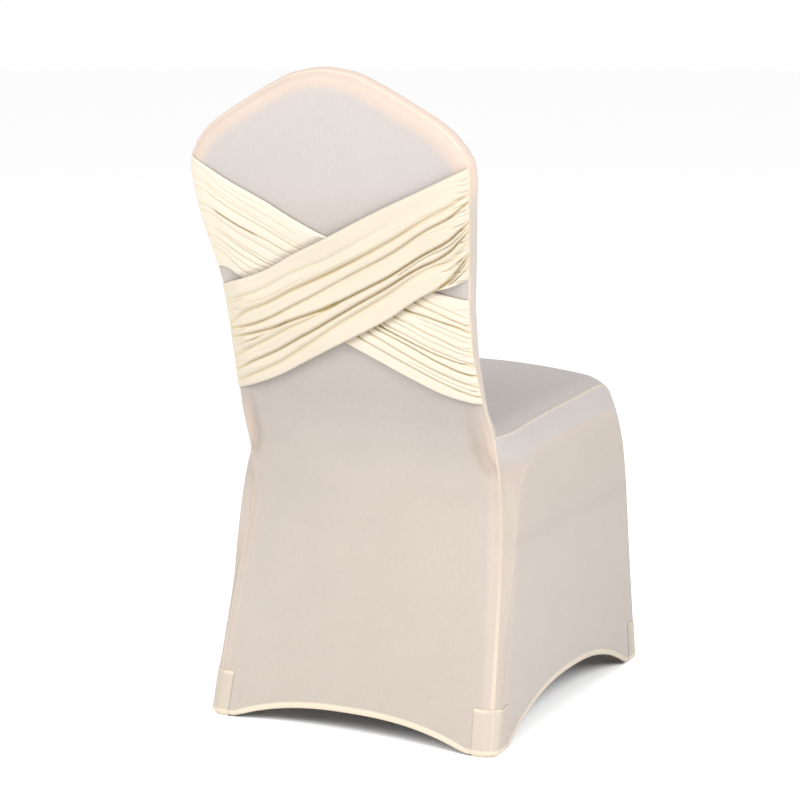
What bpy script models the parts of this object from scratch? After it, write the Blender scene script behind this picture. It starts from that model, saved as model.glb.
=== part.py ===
"""Stretch chair cover with two gathered bands crossed over its back.

The cover hangs as if a banquet chair stood inside it: the front of the chair
faces -Y, its back faces +Y, and the four foot pockets stand on z = 0. Every
panel is one sheet of cloth built from a grid of points on its outer side.
Panels that are sewn together share the points of their seam, so each seam is
a mitre with a small gap in it.
"""
import math

import bmesh
import bpy
import numpy as np
from mathutils import Vector

# Cloth
CLOTH = 0.0015            # thickness of a stretched panel
HEM_CLOTH = 0.0026        # thickness of the turned-up hem
HEM_HEIGHT = 0.009
BAND_CLOTH = 0.0020
GAP = 0.0003              # between any two pieces
SHARPEST_MITRE = 0.65     # cosine of half a seam's angle, past which its mitre is cut short
BAND_LIFT = 0.0010        # a band's underside above the back panel

# Chair back that the upper part is stretched over
RIM_RADIUS = 0.018        # rounding at the sides and over the crown
RIM_FORWARD = 0.014       # depth of that rounding towards the sitter
RIM_RISE = 0.006          # back panel behind its seam, once past the rim
RIM_WIDTH = 0.022
RIM_POWER = 3.5           # how fast the back panel turns flat past its seam
RIM_RINGS = 3             # grid lines around that rounding
PADDING = 0.012           # crown of the inside back
PADDING_ROWS = 4          # rows over which the padding grows below the crown
SEAT_JOIN_CROWN = 0.016   # rise of the line where the inside back meets the seat
SEAM_ANGLE = math.radians(45)

# Soft hollow beside the ridge that each upright makes at the waist
HOLLOW_DEPTH = 0.005
HOLLOW_FROM_SEAM = 0.026
HOLLOW_WIDTH = 0.009
HOLLOW_LOW, HOLLOW_LOW_BLEND = 0.345, 0.03
HOLLOW_HIGH, HOLLOW_HIGH_BLEND = 0.43, 0.06

# Seat and skirt
SEAT_RIM = 0.010          # seat cloth above its side seam, past the rim
SEAT_RIM_WIDTH = 0.03
FRONT_RIM = 0.005         # the same past the front corners' seams
FRONT_TOP_CROWN = 0.010   # how far the front stands out in its middle, at its top
FRONT_HEM_CROWN = 0.005   # and at its hem
FRONT_BOW = 0.0024        # and what it stands out beyond both halfway down
FRONT_EDGE_ROWS = 4       # seat rows over which the seat starts to turn down
SIDE_AT_FLOOR = 0.2320    # half width of the skirt's flat side at the floor
SIDE_TAPER = 0.025        # narrower by this much for each metre of height
SIDE_TAPER_TOP = 0.40
SIDE_HOLLOW = 0.003
SIDE_STRIP = 2            # grid cells between the flat middle and a seam
STRIP_SHARE = 0.58        # place of the strip's own grid line between seam and crease
STRIP_BULGE = (0.0022, 0, 0.0006)
REAR_HEM_ARCH = 0.031
FRONT_HEM_ARCH = 0.034
SIDE_HEM_ARCH = 0.0555
HEM_ARCH_POWER = 2.4
HEM_BASE = CLOTH + GAP    # the hem stands on the pockets' floors
POCKET_SHARE = 0.155      # part of a hem's half length that stands level in a pocket

# Foot pockets
POCKET_ROWS = 5           # rows of a panel's grid that a pocket covers
POCKET_COLUMNS_BACK = 3
POCKET_COLUMNS_SIDE = 3
POCKET_INNER_ROWS = 4     # rows that its inner wall reaches


def table(columns, *rows):
    """Rows of numbers as one array for each named column."""
    return {name: np.array([row[i] for row in rows]) for i, name in enumerate(columns.split())}


# Seam between the back panel and the side and front panels, floor to shoulder
REAR_SEAM = table(
    "height half_width depth",
    (0.000, 0.2245, 0.2275),
    (0.060, 0.2212, 0.2118),
    (0.120, 0.2180, 0.1970),
    (0.200, 0.2117, 0.1735),
    (0.260, 0.2064, 0.1560),
    (0.300, 0.2030, 0.1455),
    (0.335, 0.2008, 0.1422),
    (0.375, 0.2004, 0.1480),
    (0.440, 0.2010, 0.1693),
    (0.480, 0.1964, 0.1865),
    (0.520, 0.1933, 0.2015),
    (0.570, 0.1905, 0.2170),
    (0.620, 0.1911, 0.2290),
    (0.680, 0.1975, 0.2450),
    (0.740, 0.2067, 0.2655),
    (0.780, 0.2113, 0.2755),
    (0.808, 0.2138, 0.2800),
    (0.827, 0.2120, 0.2830),
    (0.8443, 0.2025, 0.2853),
    (0.900, 0.2025, 0.2905),
    (0.960, 0.2025, 0.2940),
)
WIDEST = 0.808
SHOULDER = 0.8443         # height where the side seam becomes the crown seam
JUNCTION = 0.440          # height where the side panel's corner is sewn in

# Crown seam, shoulder to shoulder
CROWN_SEAM = table(
    "across height",
    (-0.2025, 0.8443),
    (-0.1860, 0.8624),
    (-0.1649, 0.8781),
    (-0.1243, 0.9010),
    (-0.0841, 0.9222),
    (-0.0426, 0.9394),
    (0.0000, 0.9453),
    (0.0426, 0.9394),
    (0.0841, 0.9222),
    (0.1243, 0.9010),
    (0.1649, 0.8781),
    (0.1860, 0.8624),
    (0.2025, 0.8443),
)

# How far the middle of the back panel stands out behind its seams
BACK_BULGE = table(
    "height bulge",
    (0.000, 0.002),
    (0.120, 0.007),
    (0.240, 0.0245),
    (0.340, 0.037),
    (0.420, 0.024),
    (0.490, 0.011),
    (0.600, 0.008),
    (0.800, 0.008),
    (0.960, 0.004),
)

# Seam along the seat's side, from the junction to the front corner
SEAT_SEAM = table(
    "depth half_width height crown",
    (-0.262, 0.2030, 0.4440, 0.010),
    (-0.243, 0.2030, 0.4555, 0.014),
    (-0.2216, 0.2030, 0.4594, 0.018),
    (-0.120, 0.2030, 0.4544, 0.018),
    (-0.024, 0.2030, 0.4497, 0.017),
    (0.050, 0.2030, 0.4452, 0.015),
    (0.110, 0.2030, 0.4400, 0.012),
    (0.128, 0.2028, 0.4398, 0.010),
    (0.1695, 0.2008, 0.4400, 0.006),
)

# Seam down the front corner of the skirt
FRONT_SEAM = table(
    "height half_width depth",
    (0.000, 0.2215, -0.3255),
    (0.100, 0.2160, -0.3135),
    (0.200, 0.2110, -0.3015),
    (0.270, 0.2090, -0.2945),
    (0.360, 0.2060, -0.2870),
    (0.400, 0.2050, -0.2815),
    (0.425, 0.2040, -0.2740),
    (0.444, 0.2030, -0.2620),
)

# Edge of the flat area inside the side panel, on the side's own plane
REAR_CREASE = table(
    "height depth",
    (0.000, 0.2175),
    (0.065, 0.1995),
    (0.090, 0.1900),
    (0.190, 0.1630),
    (0.267, 0.1505),
    (0.320, 0.1390),
    (0.366, 0.1252),
    (0.3814, 0.1070),
)
TOP_CREASE = table(
    "depth height",
    (-0.2520, 0.4080),
    (-0.2293, 0.4190),
    (-0.1380, 0.4185),
    (-0.0592, 0.4170),
    (0.0128, 0.4142),
    (0.0676, 0.4090),
    (0.0924, 0.3975),
    (0.1070, 0.3814),
)
FRONT_CREASE = table(
    "height depth",
    (0.0000, -0.3215),
    (0.0686, -0.3124),
    (0.1330, -0.3044),
    (0.2000, -0.2965),
    (0.2700, -0.2887),
    (0.3293, -0.2808),
    (0.3690, -0.2727),
    (0.3895, -0.2644),
    (0.4080, -0.2520),
)

# Grid lines. Heights above the hem at the side seams, then across the back
HEIGHTS = (0, HEM_HEIGHT, HEM_HEIGHT + 0.001, 0.028, 0.046, 0.062, 0.100, 0.140, 0.180, 0.220,
           0.260, 0.300, 0.335, 0.365, 0.392, 0.416, 0.440 - HEM_BASE)
UPPER_HEIGHTS = (0.460, 0.485, 0.512, 0.540, 0.572, 0.605, 0.640, 0.675, 0.710, 0.745, 0.775,
                 0.800, 0.818, 0.828, 0.837, SHOULDER)
EDGE_STEPS = (0, 0.0056, 0.0130, 0.0235)    # distance of the first grid lines from a seam
MIDDLE_CELLS = 14
SEAT_DEPTHS = (0.135, 0.112, 0.098, 0.064, 0.022, -0.026, -0.072, -0.118, -0.164, -0.204, -0.234,
               -0.247, -0.256, -0.262)
SIDE_SHARES = (0, 0.037, 0.13, 0.25, 0.375, 0.50, 0.625, 0.75, 0.865, 0.95, 1)    # on the side's flat

MIDDLE_DEPTH = -0.0163    # middle of the whole cover's depth, which becomes y = 0

# Lower and upper edges of the bands; across runs from +1 at the sitter's left
OVER_BAND = table(
    "across upper lower",
    (-1.00, 0.8215, 0.6660),
    (-0.76, 0.7960, 0.6515),
    (-0.38, 0.7590, 0.6090),
    (0.03, 0.7210, 0.5695),
    (0.31, 0.6970, 0.5420),
    (0.60, 0.6690, 0.5140),
    (0.93, 0.6480, 0.4905),
    (1.00, 0.6430, 0.4870),
)
UNDER_BAND = table(
    "across upper lower",
    (-1.00, 0.6405, 0.4900),
    (-0.77, 0.6513, 0.5000),
    (-0.50, 0.6750, 0.5240),
    (-0.28, 0.6940, 0.5460),
    (0.03, 0.7220, 0.5755),
    (0.26, 0.7455, 0.5980),
    (0.48, 0.7715, 0.6210),
    (0.71, 0.7960, 0.6430),
    (0.96, 0.8250, 0.6710),
    (1.00, 0.8290, 0.6680),
)
# A row for each line that runs along a band: its place across the band at the
# left end, the middle and the right end, and its height as a share of the
# tallest fold. Low rows are valleys.
FOLD_HEIGHT = 0.0056
OVER_FOLDS = table(
    "left middle right height",
    (0.000, 0.000, 0.000, 0.15),
    (0.030, 0.025, 0.020, 0.40),
    (0.100, 0.110, 0.070, 0.50),
    (0.150, 0.180, 0.120, 0.25),
    (0.210, 0.240, 0.170, 0.75),
    (0.310, 0.290, 0.215, 0.70),
    (0.350, 0.325, 0.245, 0.00),
    (0.385, 0.375, 0.300, 0.85),
    (0.425, 0.450, 0.370, 0.20),
    (0.455, 0.500, 0.420, 0.95),
    (0.480, 0.580, 0.475, 0.80),
    (0.510, 0.620, 0.505, 0.00),
    (0.590, 0.660, 0.540, 1.00),
    (0.740, 0.690, 0.570, 0.75),
    (0.810, 0.720, 0.600, 0.05),
    (0.865, 0.765, 0.660, 0.90),
    (0.925, 0.815, 0.720, 0.10),
    (0.955, 0.870, 0.770, 0.90),
    (0.980, 0.950, 0.830, 0.80),
    (1.000, 1.000, 1.000, 0.10),
)
UNDER_FOLDS = table(
    "left middle right height",
    (0.000, 0.000, 0.000, 0.10),
    (0.040, 0.040, 0.030, 0.70),
    (0.100, 0.100, 0.070, 0.25),
    (0.160, 0.160, 0.110, 0.90),
    (0.250, 0.240, 0.190, 0.00),
    (0.330, 0.310, 0.250, 1.00),
    (0.420, 0.390, 0.330, 0.00),
    (0.520, 0.500, 0.460, 1.00),
    (0.630, 0.620, 0.600, 0.00),
    (0.730, 0.720, 0.690, 1.00),
    (0.840, 0.830, 0.790, 0.05),
    (0.920, 0.910, 0.890, 0.90),
    (1.000, 1.000, 1.000, 0.10),
)
CROSSING_LIFT = 0.0050    # rise of the over band where it lies on the under band
CROSSING_HALF = 0.84      # across, where the bands stop lying over each other
PRESSED = 0.35            # what is left of the under band's folds beneath the over band
SLACK_LIFT = 0.4          # what is left of that rise well past the under band's edge
SLACK_REACH = 0.07
PRESSED_EDGE, PRESSED_BLEND = 0.004, 0.02
BAND_END = 0.994
BAND_END_FOLDS = 0.55     # what is left of the folds where a band is sewn into the seam
BAND_END_FROM, BAND_END_BLEND = 0.88, 0.1
UNEVEN = 0.2              # how much a fold's height varies along it
UNEVEN_WAVE, UNEVEN_STEP = 5.0, 2.1

CLOTH_ROUGHNESS = 0.75
COLOURS = {
    "panel": (0.72, 0.66, 0.60),
    "band": (0.93, 0.86, 0.72),
    "pocket": (0.88, 0.81, 0.70),
}


def curve(rows, along, value, at):
    """Value on a smooth curve through a table's rows that never overshoots them."""
    x, y = rows[along], rows[value]
    rise = np.diff(y) / np.diff(x)
    slope = np.empty_like(y)
    slope[0], slope[-1] = rise[0], rise[-1]
    product = rise[1:] * rise[:-1]
    total = np.where(product > 0, rise[1:] + rise[:-1], 1.0)
    slope[1:-1] = np.where(product > 0, 2 * product / total, 0.0)
    k = np.clip(np.searchsorted(x, at) - 1, 0, len(rise) - 1)
    width = x[k + 1] - x[k]
    t = np.clip((at - x[k]) / width, 0.0, 1.0)
    return ((1 + 2 * t) * (1 - t) ** 2 * y[k] + t * (1 - t) ** 2 * width * slope[k]
            + t * t * (3 - 2 * t) * y[k + 1] + t * t * (t - 1) * width * slope[k + 1])


def smoothstep(t):
    t = np.clip(t, 0.0, 1.0)
    return t * t * (3 - 2 * t)


def unit(v):
    return v / max(np.linalg.norm(v), 1e-12)


def seam_depth(z):
    return curve(REAR_SEAM, "height", "depth", z)


def back_half_width(z):
    return curve(REAR_SEAM, "height", "half_width", min(z, WIDEST))


def side_x(z):
    """Half width of the skirt's flat side."""
    return SIDE_AT_FLOOR - SIDE_TAPER * np.minimum(z, SIDE_TAPER_TOP)


def rear_seam(z, side):
    return np.array([side * curve(REAR_SEAM, "height", "half_width", z), seam_depth(z), z])


def crown_seam(x):
    z = curve(CROWN_SEAM, "across", "height", x)
    return np.array([x, seam_depth(z), z])


def seat_seam(y, side):
    return np.array([side * curve(SEAT_SEAM, "depth", "half_width", y), y,
                     curve(SEAT_SEAM, "depth", "height", y)])


def front_seam(z, side):
    return np.array([side * curve(FRONT_SEAM, "height", "half_width", z),
                     curve(FRONT_SEAM, "height", "depth", z), z])


CROWN_HALF = CROWN_SEAM["across"][-1]
SIDE_OUTLINE = [rear_seam(z, side)[[0, 2]] for side in (1, -1) for z in np.linspace(0, SHOULDER, 120)]
CROWN_OUTLINE = [crown_seam(x)[[0, 2]] for x in np.linspace(-CROWN_HALF, CROWN_HALF, 120)]
OUTLINE = np.array(SIDE_OUTLINE + CROWN_OUTLINE)


def back_depth(x, z):
    """Depth of the rear cloth: its seam's depth, the bulge, the rim and the upright's ridge."""
    reach = np.hypot(OUTLINE[:, 0] - x, OUTLINE[:, 1] - z).min()
    bulge = curve(BACK_BULGE, "height", "bulge", z) * (1 - min(1.0, (x / back_half_width(z)) ** 2))
    rim = RIM_RISE * (1 - (1 - min(reach / RIM_WIDTH, 1.0)) ** RIM_POWER)
    beside = math.exp(-((reach - HOLLOW_FROM_SEAM) / HOLLOW_WIDTH) ** 2)
    at_waist = (smoothstep((z - HOLLOW_LOW) / HOLLOW_LOW_BLEND)
                * (1 - smoothstep((z - HOLLOW_HIGH) / HOLLOW_HIGH_BLEND)))
    return seam_depth(z) + bulge + rim - HOLLOW_DEPTH * beside * at_waist


def column_places():
    """Places of the grid's columns across the crown, -x to +x."""
    edge = [CROWN_HALF - step for step in EDGE_STEPS]
    middle = np.linspace(edge[-1], -edge[-1], MIDDLE_CELLS + 1)
    return np.array(edge[:-1] + list(middle) + [-x for x in edge[:-1][::-1]])[::-1]


COLUMNS = column_places()
SIDE_HEIGHTS = np.array([h + HEM_BASE for h in HEIGHTS] + list(UPPER_HEIGHTS))
LOWER_ROWS = len(HEIGHTS)          # grid rows from the hem up to the junction


def front_height(z):
    """Height on the front corner's seam of a grid row that is at z on the rear seam."""
    return z + (FRONT_SEAM["height"][-1] - JUNCTION) * (z / JUNCTION) ** 4


def hem_rise(place, arch):
    """Height of a hem's arch; place runs from -1 at one foot to +1 at the other."""
    past_pocket = max(0.0, 1 - abs(place) - POCKET_SHARE) / (1 - POCKET_SHARE)
    return arch * (1 - (1 - past_pocket) ** HEM_ARCH_POWER)


def coons(bottom, top, left, right, us, vs):
    """Grid of points inside four edge curves, each given as points along it."""
    grid = np.empty((len(vs), len(us), 3))
    for r, v in enumerate(vs):
        for c, u in enumerate(us):
            grid[r, c] = ((1 - v) * bottom[c] + v * top[c] + (1 - u) * left[r] + u * right[r]
                          - (1 - u) * (1 - v) * bottom[0] - u * (1 - v) * bottom[-1]
                          - (1 - u) * v * top[0] - u * v * top[-1])
    return grid


def back_panel():
    """Rear sheet from the crown to the rear hem."""
    us = (COLUMNS - COLUMNS[0]) / (COLUMNS[-1] - COLUMNS[0])
    vs = (SIDE_HEIGHTS - SIDE_HEIGHTS[0]) / (SIDE_HEIGHTS[-1] - SIDE_HEIGHTS[0])
    left = np.array([rear_seam(z, -1) for z in SIDE_HEIGHTS])
    right = np.array([rear_seam(z, 1) for z in SIDE_HEIGHTS])
    top = np.array([crown_seam(x) for x in COLUMNS])
    bottom = np.array([left[0] * (1 - u) + right[0] * u
                       + [0, 0, hem_rise(2 * u - 1, REAR_HEM_ARCH)] for u in us])
    grid = coons(bottom, top, left, right, us, vs)
    for r in range(len(vs)):
        for c in range(len(us)):
            x, _, z = grid[r, c]
            edge = c in (0, len(us) - 1) or r == len(vs) - 1
            grid[r, c, 1] = seam_depth(z) if edge else back_depth(x, z)
    return grid


def seam_normals(points):
    """Directions in the back's own plane that point out of the crown's outline."""
    along = np.gradient(points, axis=0)
    out = np.stack([-along[:, 2], np.zeros(len(along)), along[:, 0]], axis=1)
    return np.array([unit(v) for v in out])


def front_panel():
    """Sheet over the crown, down the inside back, across the seat and down to the front hem."""
    upper = SIDE_HEIGHTS[LOWER_ROWS - 1:][::-1]          # shoulder down to the junction
    front_heights = front_height(SIDE_HEIGHTS[:LOWER_ROWS])[::-1]
    edges = {}
    for side in (-1, 1):
        edges[side] = ([rear_seam(z, side) for z in upper] + [seat_seam(y, side) for y in SEAT_DEPTHS]
                       + [front_seam(z, side) for z in front_heights[1:]])
    rows, columns = len(edges[1]), len(COLUMNS)
    crown = np.array([crown_seam(x) for x in COLUMNS])
    inside_rows = len(upper)
    first_front = inside_rows + len(SEAT_DEPTHS)
    outline = np.array(edges[-1][inside_rows - 1::-1] + list(crown[1:-1]) + edges[1][:inside_rows])
    normals = seam_normals(outline)
    rings = RIM_RINGS
    angles = np.linspace(-SEAM_ANGLE, math.pi / 2, rings + 1)

    def rim(ring, index):
        out = RIM_RADIUS * (math.cos(angles[ring]) - math.cos(SEAM_ANGLE))
        forward = RIM_FORWARD * (math.sin(angles[ring]) + math.sin(SEAM_ANGLE))
        return outline[index] + out * normals[index] + np.array([0, -forward, 0])

    grid = np.zeros((rows, columns, 3))
    us = (COLUMNS - COLUMNS[0]) / (COLUMNS[-1] - COLUMNS[0])
    # The rim around the inside back, one ring of the grid after another
    for r in range(inside_rows):
        for c in range(columns):
            near = min(c, columns - 1 - c)
            ring = min(near, r, rings)
            if ring < rings or near == rings or r == rings:
                if r <= near:
                    index = inside_rows - 1 + c
                    if r == near:
                        index = inside_rows - 1 + (0 if c == near else columns - 1)
                else:
                    index = inside_rows - 1 - r if c == near else len(outline) - inside_rows + r
                grid[r, c] = rim(ring, index)
    # The inside back within that rim
    inner = slice(rings, columns - rings)
    inner_us = (COLUMNS[inner] - COLUMNS[rings]) / (COLUMNS[-1 - rings] - COLUMNS[rings])
    depths = upper[rings:]
    inner_vs = (depths - depths[0]) / (depths[-1] - depths[0])
    foot_l, foot_r = grid[inside_rows - 1, rings], grid[inside_rows - 1, columns - 1 - rings]
    foot = np.array([foot_l * (1 - u) + foot_r * u + [0, 0, SEAT_JOIN_CROWN * (1 - (2 * u - 1) ** 2)]
                     for u in inner_us])
    face = coons(grid[rings, inner], foot, grid[rings:inside_rows, rings],
                 grid[rings:inside_rows, columns - 1 - rings], inner_us, inner_vs)
    for r in range(face.shape[0]):
        for c in range(face.shape[1]):
            u = 2 * inner_us[c] - 1
            fade = smoothstep(r / PADDING_ROWS)
            face[r, c, 1] = (seam_depth(face[r, c, 2]) * fade + face[r, c, 1] * (1 - fade)
                             - RIM_FORWARD * (1 + math.sin(SEAM_ANGLE)) * fade
                             - PADDING * fade * (1 - u * u))
    face[:, 0], face[:, -1] = grid[rings:inside_rows, rings], grid[rings:inside_rows, columns - 1 - rings]
    grid[rings:inside_rows, inner] = face
    # Seat and front: straight from seam to seam, then pushed out by rim and crown
    for r in range(inside_rows, rows):
        left, right = edges[-1][r], edges[1][r]
        onto_front = smoothstep((r - first_front + FRONT_EDGE_ROWS) / (FRONT_EDGE_ROWS + 2))
        lean = onto_front * math.pi / 2
        push = np.array([0, -math.sin(lean), math.cos(lean)])
        rim_here = SEAT_RIM * (1 - onto_front) + FRONT_RIM * onto_front
        if r < first_front:
            crown_here = curve(SEAT_SEAM, "depth", "crown", left[1])
        else:
            fall = (r - first_front) / (rows - 1 - first_front)
            crown_here = FRONT_TOP_CROWN * (1 - fall) + FRONT_HEM_CROWN * fall
            crown_here += FRONT_BOW * 4 * fall * (1 - fall)
        for c in range(columns):
            u = us[c]
            across = (1 - u) * left + u * right
            reach = min(across[0] - left[0], right[0] - across[0])
            rise = rim_here * (1 - (1 - min(reach / SEAT_RIM_WIDTH, 1.0)) ** 2)
            rise += crown_here * (1 - (2 * u - 1) ** 2)
            grid[r, c] = across + push * rise
            if r >= first_front:
                low = 1 - left[2] / front_heights[0]
                grid[r, c, 2] += hem_rise(2 * u - 1, FRONT_HEM_ARCH) * low
    for c in range(columns):
        for side_column, side in ((0, -1), (columns - 1, 1)):
            for r in range(inside_rows, rows):
                grid[r, side_column] = edges[side][r]
    return grid


def side_panel(side):
    """Skirt's side sheet: a flat middle inside a strip that turns in to the seams."""
    lower = SIDE_HEIGHTS[:LOWER_ROWS]
    front_heights = front_height(lower)
    depths = [seam_depth(JUNCTION)] + list(SEAT_DEPTHS)
    rows, columns = len(lower), len(depths)
    last_r, last_c = rows - 1, columns - 1
    strip = SIDE_STRIP

    def on_side(y, z):
        return np.array([side_x(z), y, z])

    def edge_point(r, c):
        if c == 0:
            return rear_seam(lower[r], 1)
        if c == last_c:
            return front_seam(front_heights[r], 1)
        return seat_seam(depths[c], 1)

    def down_to(heights, crease):
        """Heights of a crease's points, which end a little off the row that they belong to."""
        kept = heights[:crease_rows]
        return kept - (kept[-1] - crease["height"][-1]) * (kept / kept[-1]) ** 3

    crease_rows = rows - strip
    rear_z, front_z = down_to(lower, REAR_CREASE), down_to(front_heights, FRONT_CREASE)
    us = np.array(SIDE_SHARES)
    crease_y = TOP_CREASE["depth"][-1] * (1 - us) + TOP_CREASE["depth"][0] * us
    rear = np.array([on_side(curve(REAR_CREASE, "height", "depth", z), z) for z in rear_z])
    front = np.array([on_side(curve(FRONT_CREASE, "height", "depth", z), z) for z in front_z])
    top = np.array([on_side(y, curve(TOP_CREASE, "depth", "height", y)) for y in crease_y])
    vs = (rear_z - rear_z[0]) / (rear_z[-1] - rear_z[0])
    ends = edge_point(0, 0)[1], edge_point(0, last_c)[1]
    middle, half = (ends[0] + ends[1]) / 2, (ends[0] - ends[1]) / 2
    bottom = np.array([on_side(rear[0][1] * (1 - u) + front[0][1] * u, HEM_BASE) for u in us])
    for point in bottom:
        point[2] += hem_rise((point[1] - middle) / half, SIDE_HEM_ARCH)
    rear[:, 2] += hem_rise((rear[0][1] - middle) / half, SIDE_HEM_ARCH) * (1 - vs)
    front[:, 2] += hem_rise((front[0][1] - middle) / half, SIDE_HEM_ARCH) * (1 - vs)
    flat = coons(bottom, top, rear, front, us, vs)
    for r in range(crease_rows):
        for c in range(len(us)):
            inset = math.sin(math.pi * us[c]) * math.sin(math.pi * vs[r])
            flat[r, c, 0] = side_x(flat[r, c, 2]) - SIDE_HOLLOW * inset
    grid = np.zeros((rows, columns, 3))
    grid[:crease_rows, strip:columns - strip] = flat
    for r in range(rows):
        for c in range(columns):
            near, above = min(c, last_c - c), last_r - r
            ring = min(near, above)
            if ring >= strip:
                continue
            if near < above:
                outer = edge_point(r, 0 if c == near else last_c)
                inner = grid[min(r, crease_rows - 1), strip if c == near else last_c - strip]
            elif above < near:
                outer = edge_point(last_r, c)
                inner = grid[crease_rows - 1, min(max(c, strip), last_c - strip)]
            else:
                corner = 0 if c == near else last_c
                outer = edge_point(last_r, corner)
                inner = grid[crease_rows - 1, strip if c == near else last_c - strip]
            grid[r, c] = outer
            if ring == 1:
                grid[r, c] = outer * (1 - STRIP_SHARE) + inner * STRIP_SHARE + STRIP_BULGE
    grid[:, :, 0] *= side
    return grid


def grid_normals(grid, outward):
    """Unit normals at a grid's points, on the side that outward points to."""
    down = np.gradient(grid, axis=0)
    across = np.gradient(grid, axis=1)
    normals = np.cross(across, down)
    normals /= np.maximum(np.linalg.norm(normals, axis=2, keepdims=True), 1e-12)
    middle = normals[normals.shape[0] // 2, normals.shape[1] // 2]
    return normals if middle @ np.asarray(outward) > 0 else -normals


def key(point):
    return tuple(np.round(point * 1e5).astype(int))


def loop_of(rows, columns):
    """Grid positions around a grid's edge, in order."""
    return ([(0, c) for c in range(columns - 1)] + [(r, columns - 1) for r in range(rows - 1)]
            + [(rows - 1, c) for c in range(columns - 1, 0, -1)] + [(r, 0) for r in range(rows - 1, 0, -1)])


def shared_normals(grids, normals):
    """Sum of the panels' normals at each point that two or more panels share."""
    shared = {}
    for name, grid in grids.items():
        for r, c in loop_of(*grid.shape[:2]):
            shared.setdefault(key(grid[r, c]), []).append(normals[name][r, c])
    return {place: found for place, found in shared.items() if len(found) > 1}


def skins(grid, normals, shared, thickness, hem_row):
    """Outer and inner points of a panel, mitred and set apart along its seams."""
    outer, inner = grid.copy(), grid - normals * thickness[:, :, None]
    rows, columns = grid.shape[:2]
    loop = loop_of(rows, columns)
    for i, (r, c) in enumerate(loop):
        found = shared.get(key(grid[r, c]))
        if not found:
            continue
        mean = unit(sum(found))
        stretch = 1 / max(np.mean([mean @ n for n in found]), SHARPEST_MITRE)
        before, after = loop[i - 1], loop[(i + 1) % len(loop)]
        ahead = grid[after] if key(grid[after]) in shared else grid[r, c]
        behind = grid[before] if key(grid[before]) in shared else grid[r, c]
        along = unit(ahead - behind)
        inside = grid[min(max(r, 1), rows - 2), min(max(c, 1), columns - 2)] - grid[r, c]
        inside = inside - (inside @ mean) * mean
        inside = unit(inside - (inside @ along) * along)
        outer[r, c] = grid[r, c] + inside * GAP / 2
        inner[r, c] = grid[r, c] - mean * stretch * thickness[r, c] + inside * GAP / 2
    outer[hem_row, :, 2] = np.maximum(outer[hem_row, :, 2], HEM_BASE)
    inner[hem_row, :, 2] = outer[hem_row, :, 2]
    return outer, inner


def new_points(mesh, grid):
    return [[mesh.verts.new(point) for point in row] for row in grid]


def face_cells(mesh, made, guide):
    """Two triangles for each cell of a grid, split on the shorter diagonal of its guide grid."""
    for r in range(len(made) - 1):
        for c in range(len(made[0]) - 1):
            a, b, d, e = (r, c), (r, c + 1), (r + 1, c + 1), (r + 1, c)
            falling = np.linalg.norm(guide[a] - guide[d]) < np.linalg.norm(guide[b] - guide[e]) - 1e-7
            for turn in (((a, b, d), (a, d, e)) if falling else ((a, b, e), (b, d, e))):
                mesh.faces.new([made[i][j] for i, j in turn])


def sheet_object(name, outer, inner, colour):
    """One closed body between two grids of points."""
    rows, columns = outer.shape[:2]
    mesh = bmesh.new()
    front, back = new_points(mesh, outer), new_points(mesh, inner)
    for layer in (front, back):
        face_cells(mesh, layer, outer)
    loop = loop_of(rows, columns)
    for i, a in enumerate(loop):
        b = loop[(i + 1) % len(loop)]
        mesh.faces.new([front[b[0]][b[1]], front[a[0]][a[1]], back[a[0]][a[1]], back[b[0]][b[1]]])
    return finish_object(name, mesh, colour)


def finish_object(name, mesh, colour):
    """Object of the closed mesh, moved to the middle of the frame, with its own cloth."""
    bmesh.ops.translate(mesh, verts=mesh.verts, vec=(0, -MIDDLE_DEPTH, 0))
    bmesh.ops.recalc_face_normals(mesh, faces=mesh.faces)
    bmesh.ops.triangulate(mesh, faces=mesh.faces)
    if mesh.calc_volume(signed=True) < 0:
        bmesh.ops.reverse_faces(mesh, faces=mesh.faces)
    data = bpy.data.meshes.new(name)
    mesh.to_mesh(data)
    mesh.free()
    data.materials.append(cloth_material(name, colour))
    data.shade_smooth()
    data.set_sharp_from_angle(angle=math.radians(50))
    made = bpy.data.objects.new(name, data)
    bpy.context.collection.objects.link(made)
    return made


def cloth_material(name, colour):
    material = bpy.data.materials.new(name + "_cloth")
    material.use_nodes = True
    shader = material.node_tree.nodes["Principled BSDF"]
    shader.inputs["Base Color"].default_value = (*COLOURS[colour], 1)
    shader.inputs["Roughness"].default_value = CLOTH_ROUGHNESS
    shader.inputs["Metallic"].default_value = 0.0
    material.diffuse_color = (*COLOURS[colour], 1)
    return material


def panel_thickness(grid, hem_row):
    """Cloth thickness at each grid point, more along the turned-up hem."""
    thickness = np.full(grid.shape[:2], CLOTH)
    thickness[:2 if hem_row == 0 else 0] = HEM_CLOTH
    thickness[-2 if hem_row == -1 else len(grid):] = HEM_CLOTH
    return thickness


def lined_up(rows, at):
    """Place of a band's fold line across the band."""
    left, middle, right = rows
    return middle + (left - right) / 2 * at + ((left + right) / 2 - middle) * at * at


def on_back(grid, normals, across, z):
    """Point and normal of the back panel's own grid at a place across and a height."""
    half = COLUMNS[-1]
    c = np.clip(np.searchsorted(COLUMNS, across * half) - 1, 0, len(COLUMNS) - 2)
    t = (across * half - COLUMNS[c]) / (COLUMNS[c + 1] - COLUMNS[c])
    line = grid[:, c] * (1 - t) + grid[:, c + 1] * t
    lean = normals[:, c] * (1 - t) + normals[:, c + 1] * t
    r = np.clip(np.searchsorted(line[:, 2], z) - 1, 0, len(line) - 2)
    s = (z - line[r, 2]) / (line[r + 1, 2] - line[r, 2])
    return line[r] * (1 - s) + line[r + 1] * s, unit(lean[r] * (1 - s) + lean[r + 1] * s)


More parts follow.
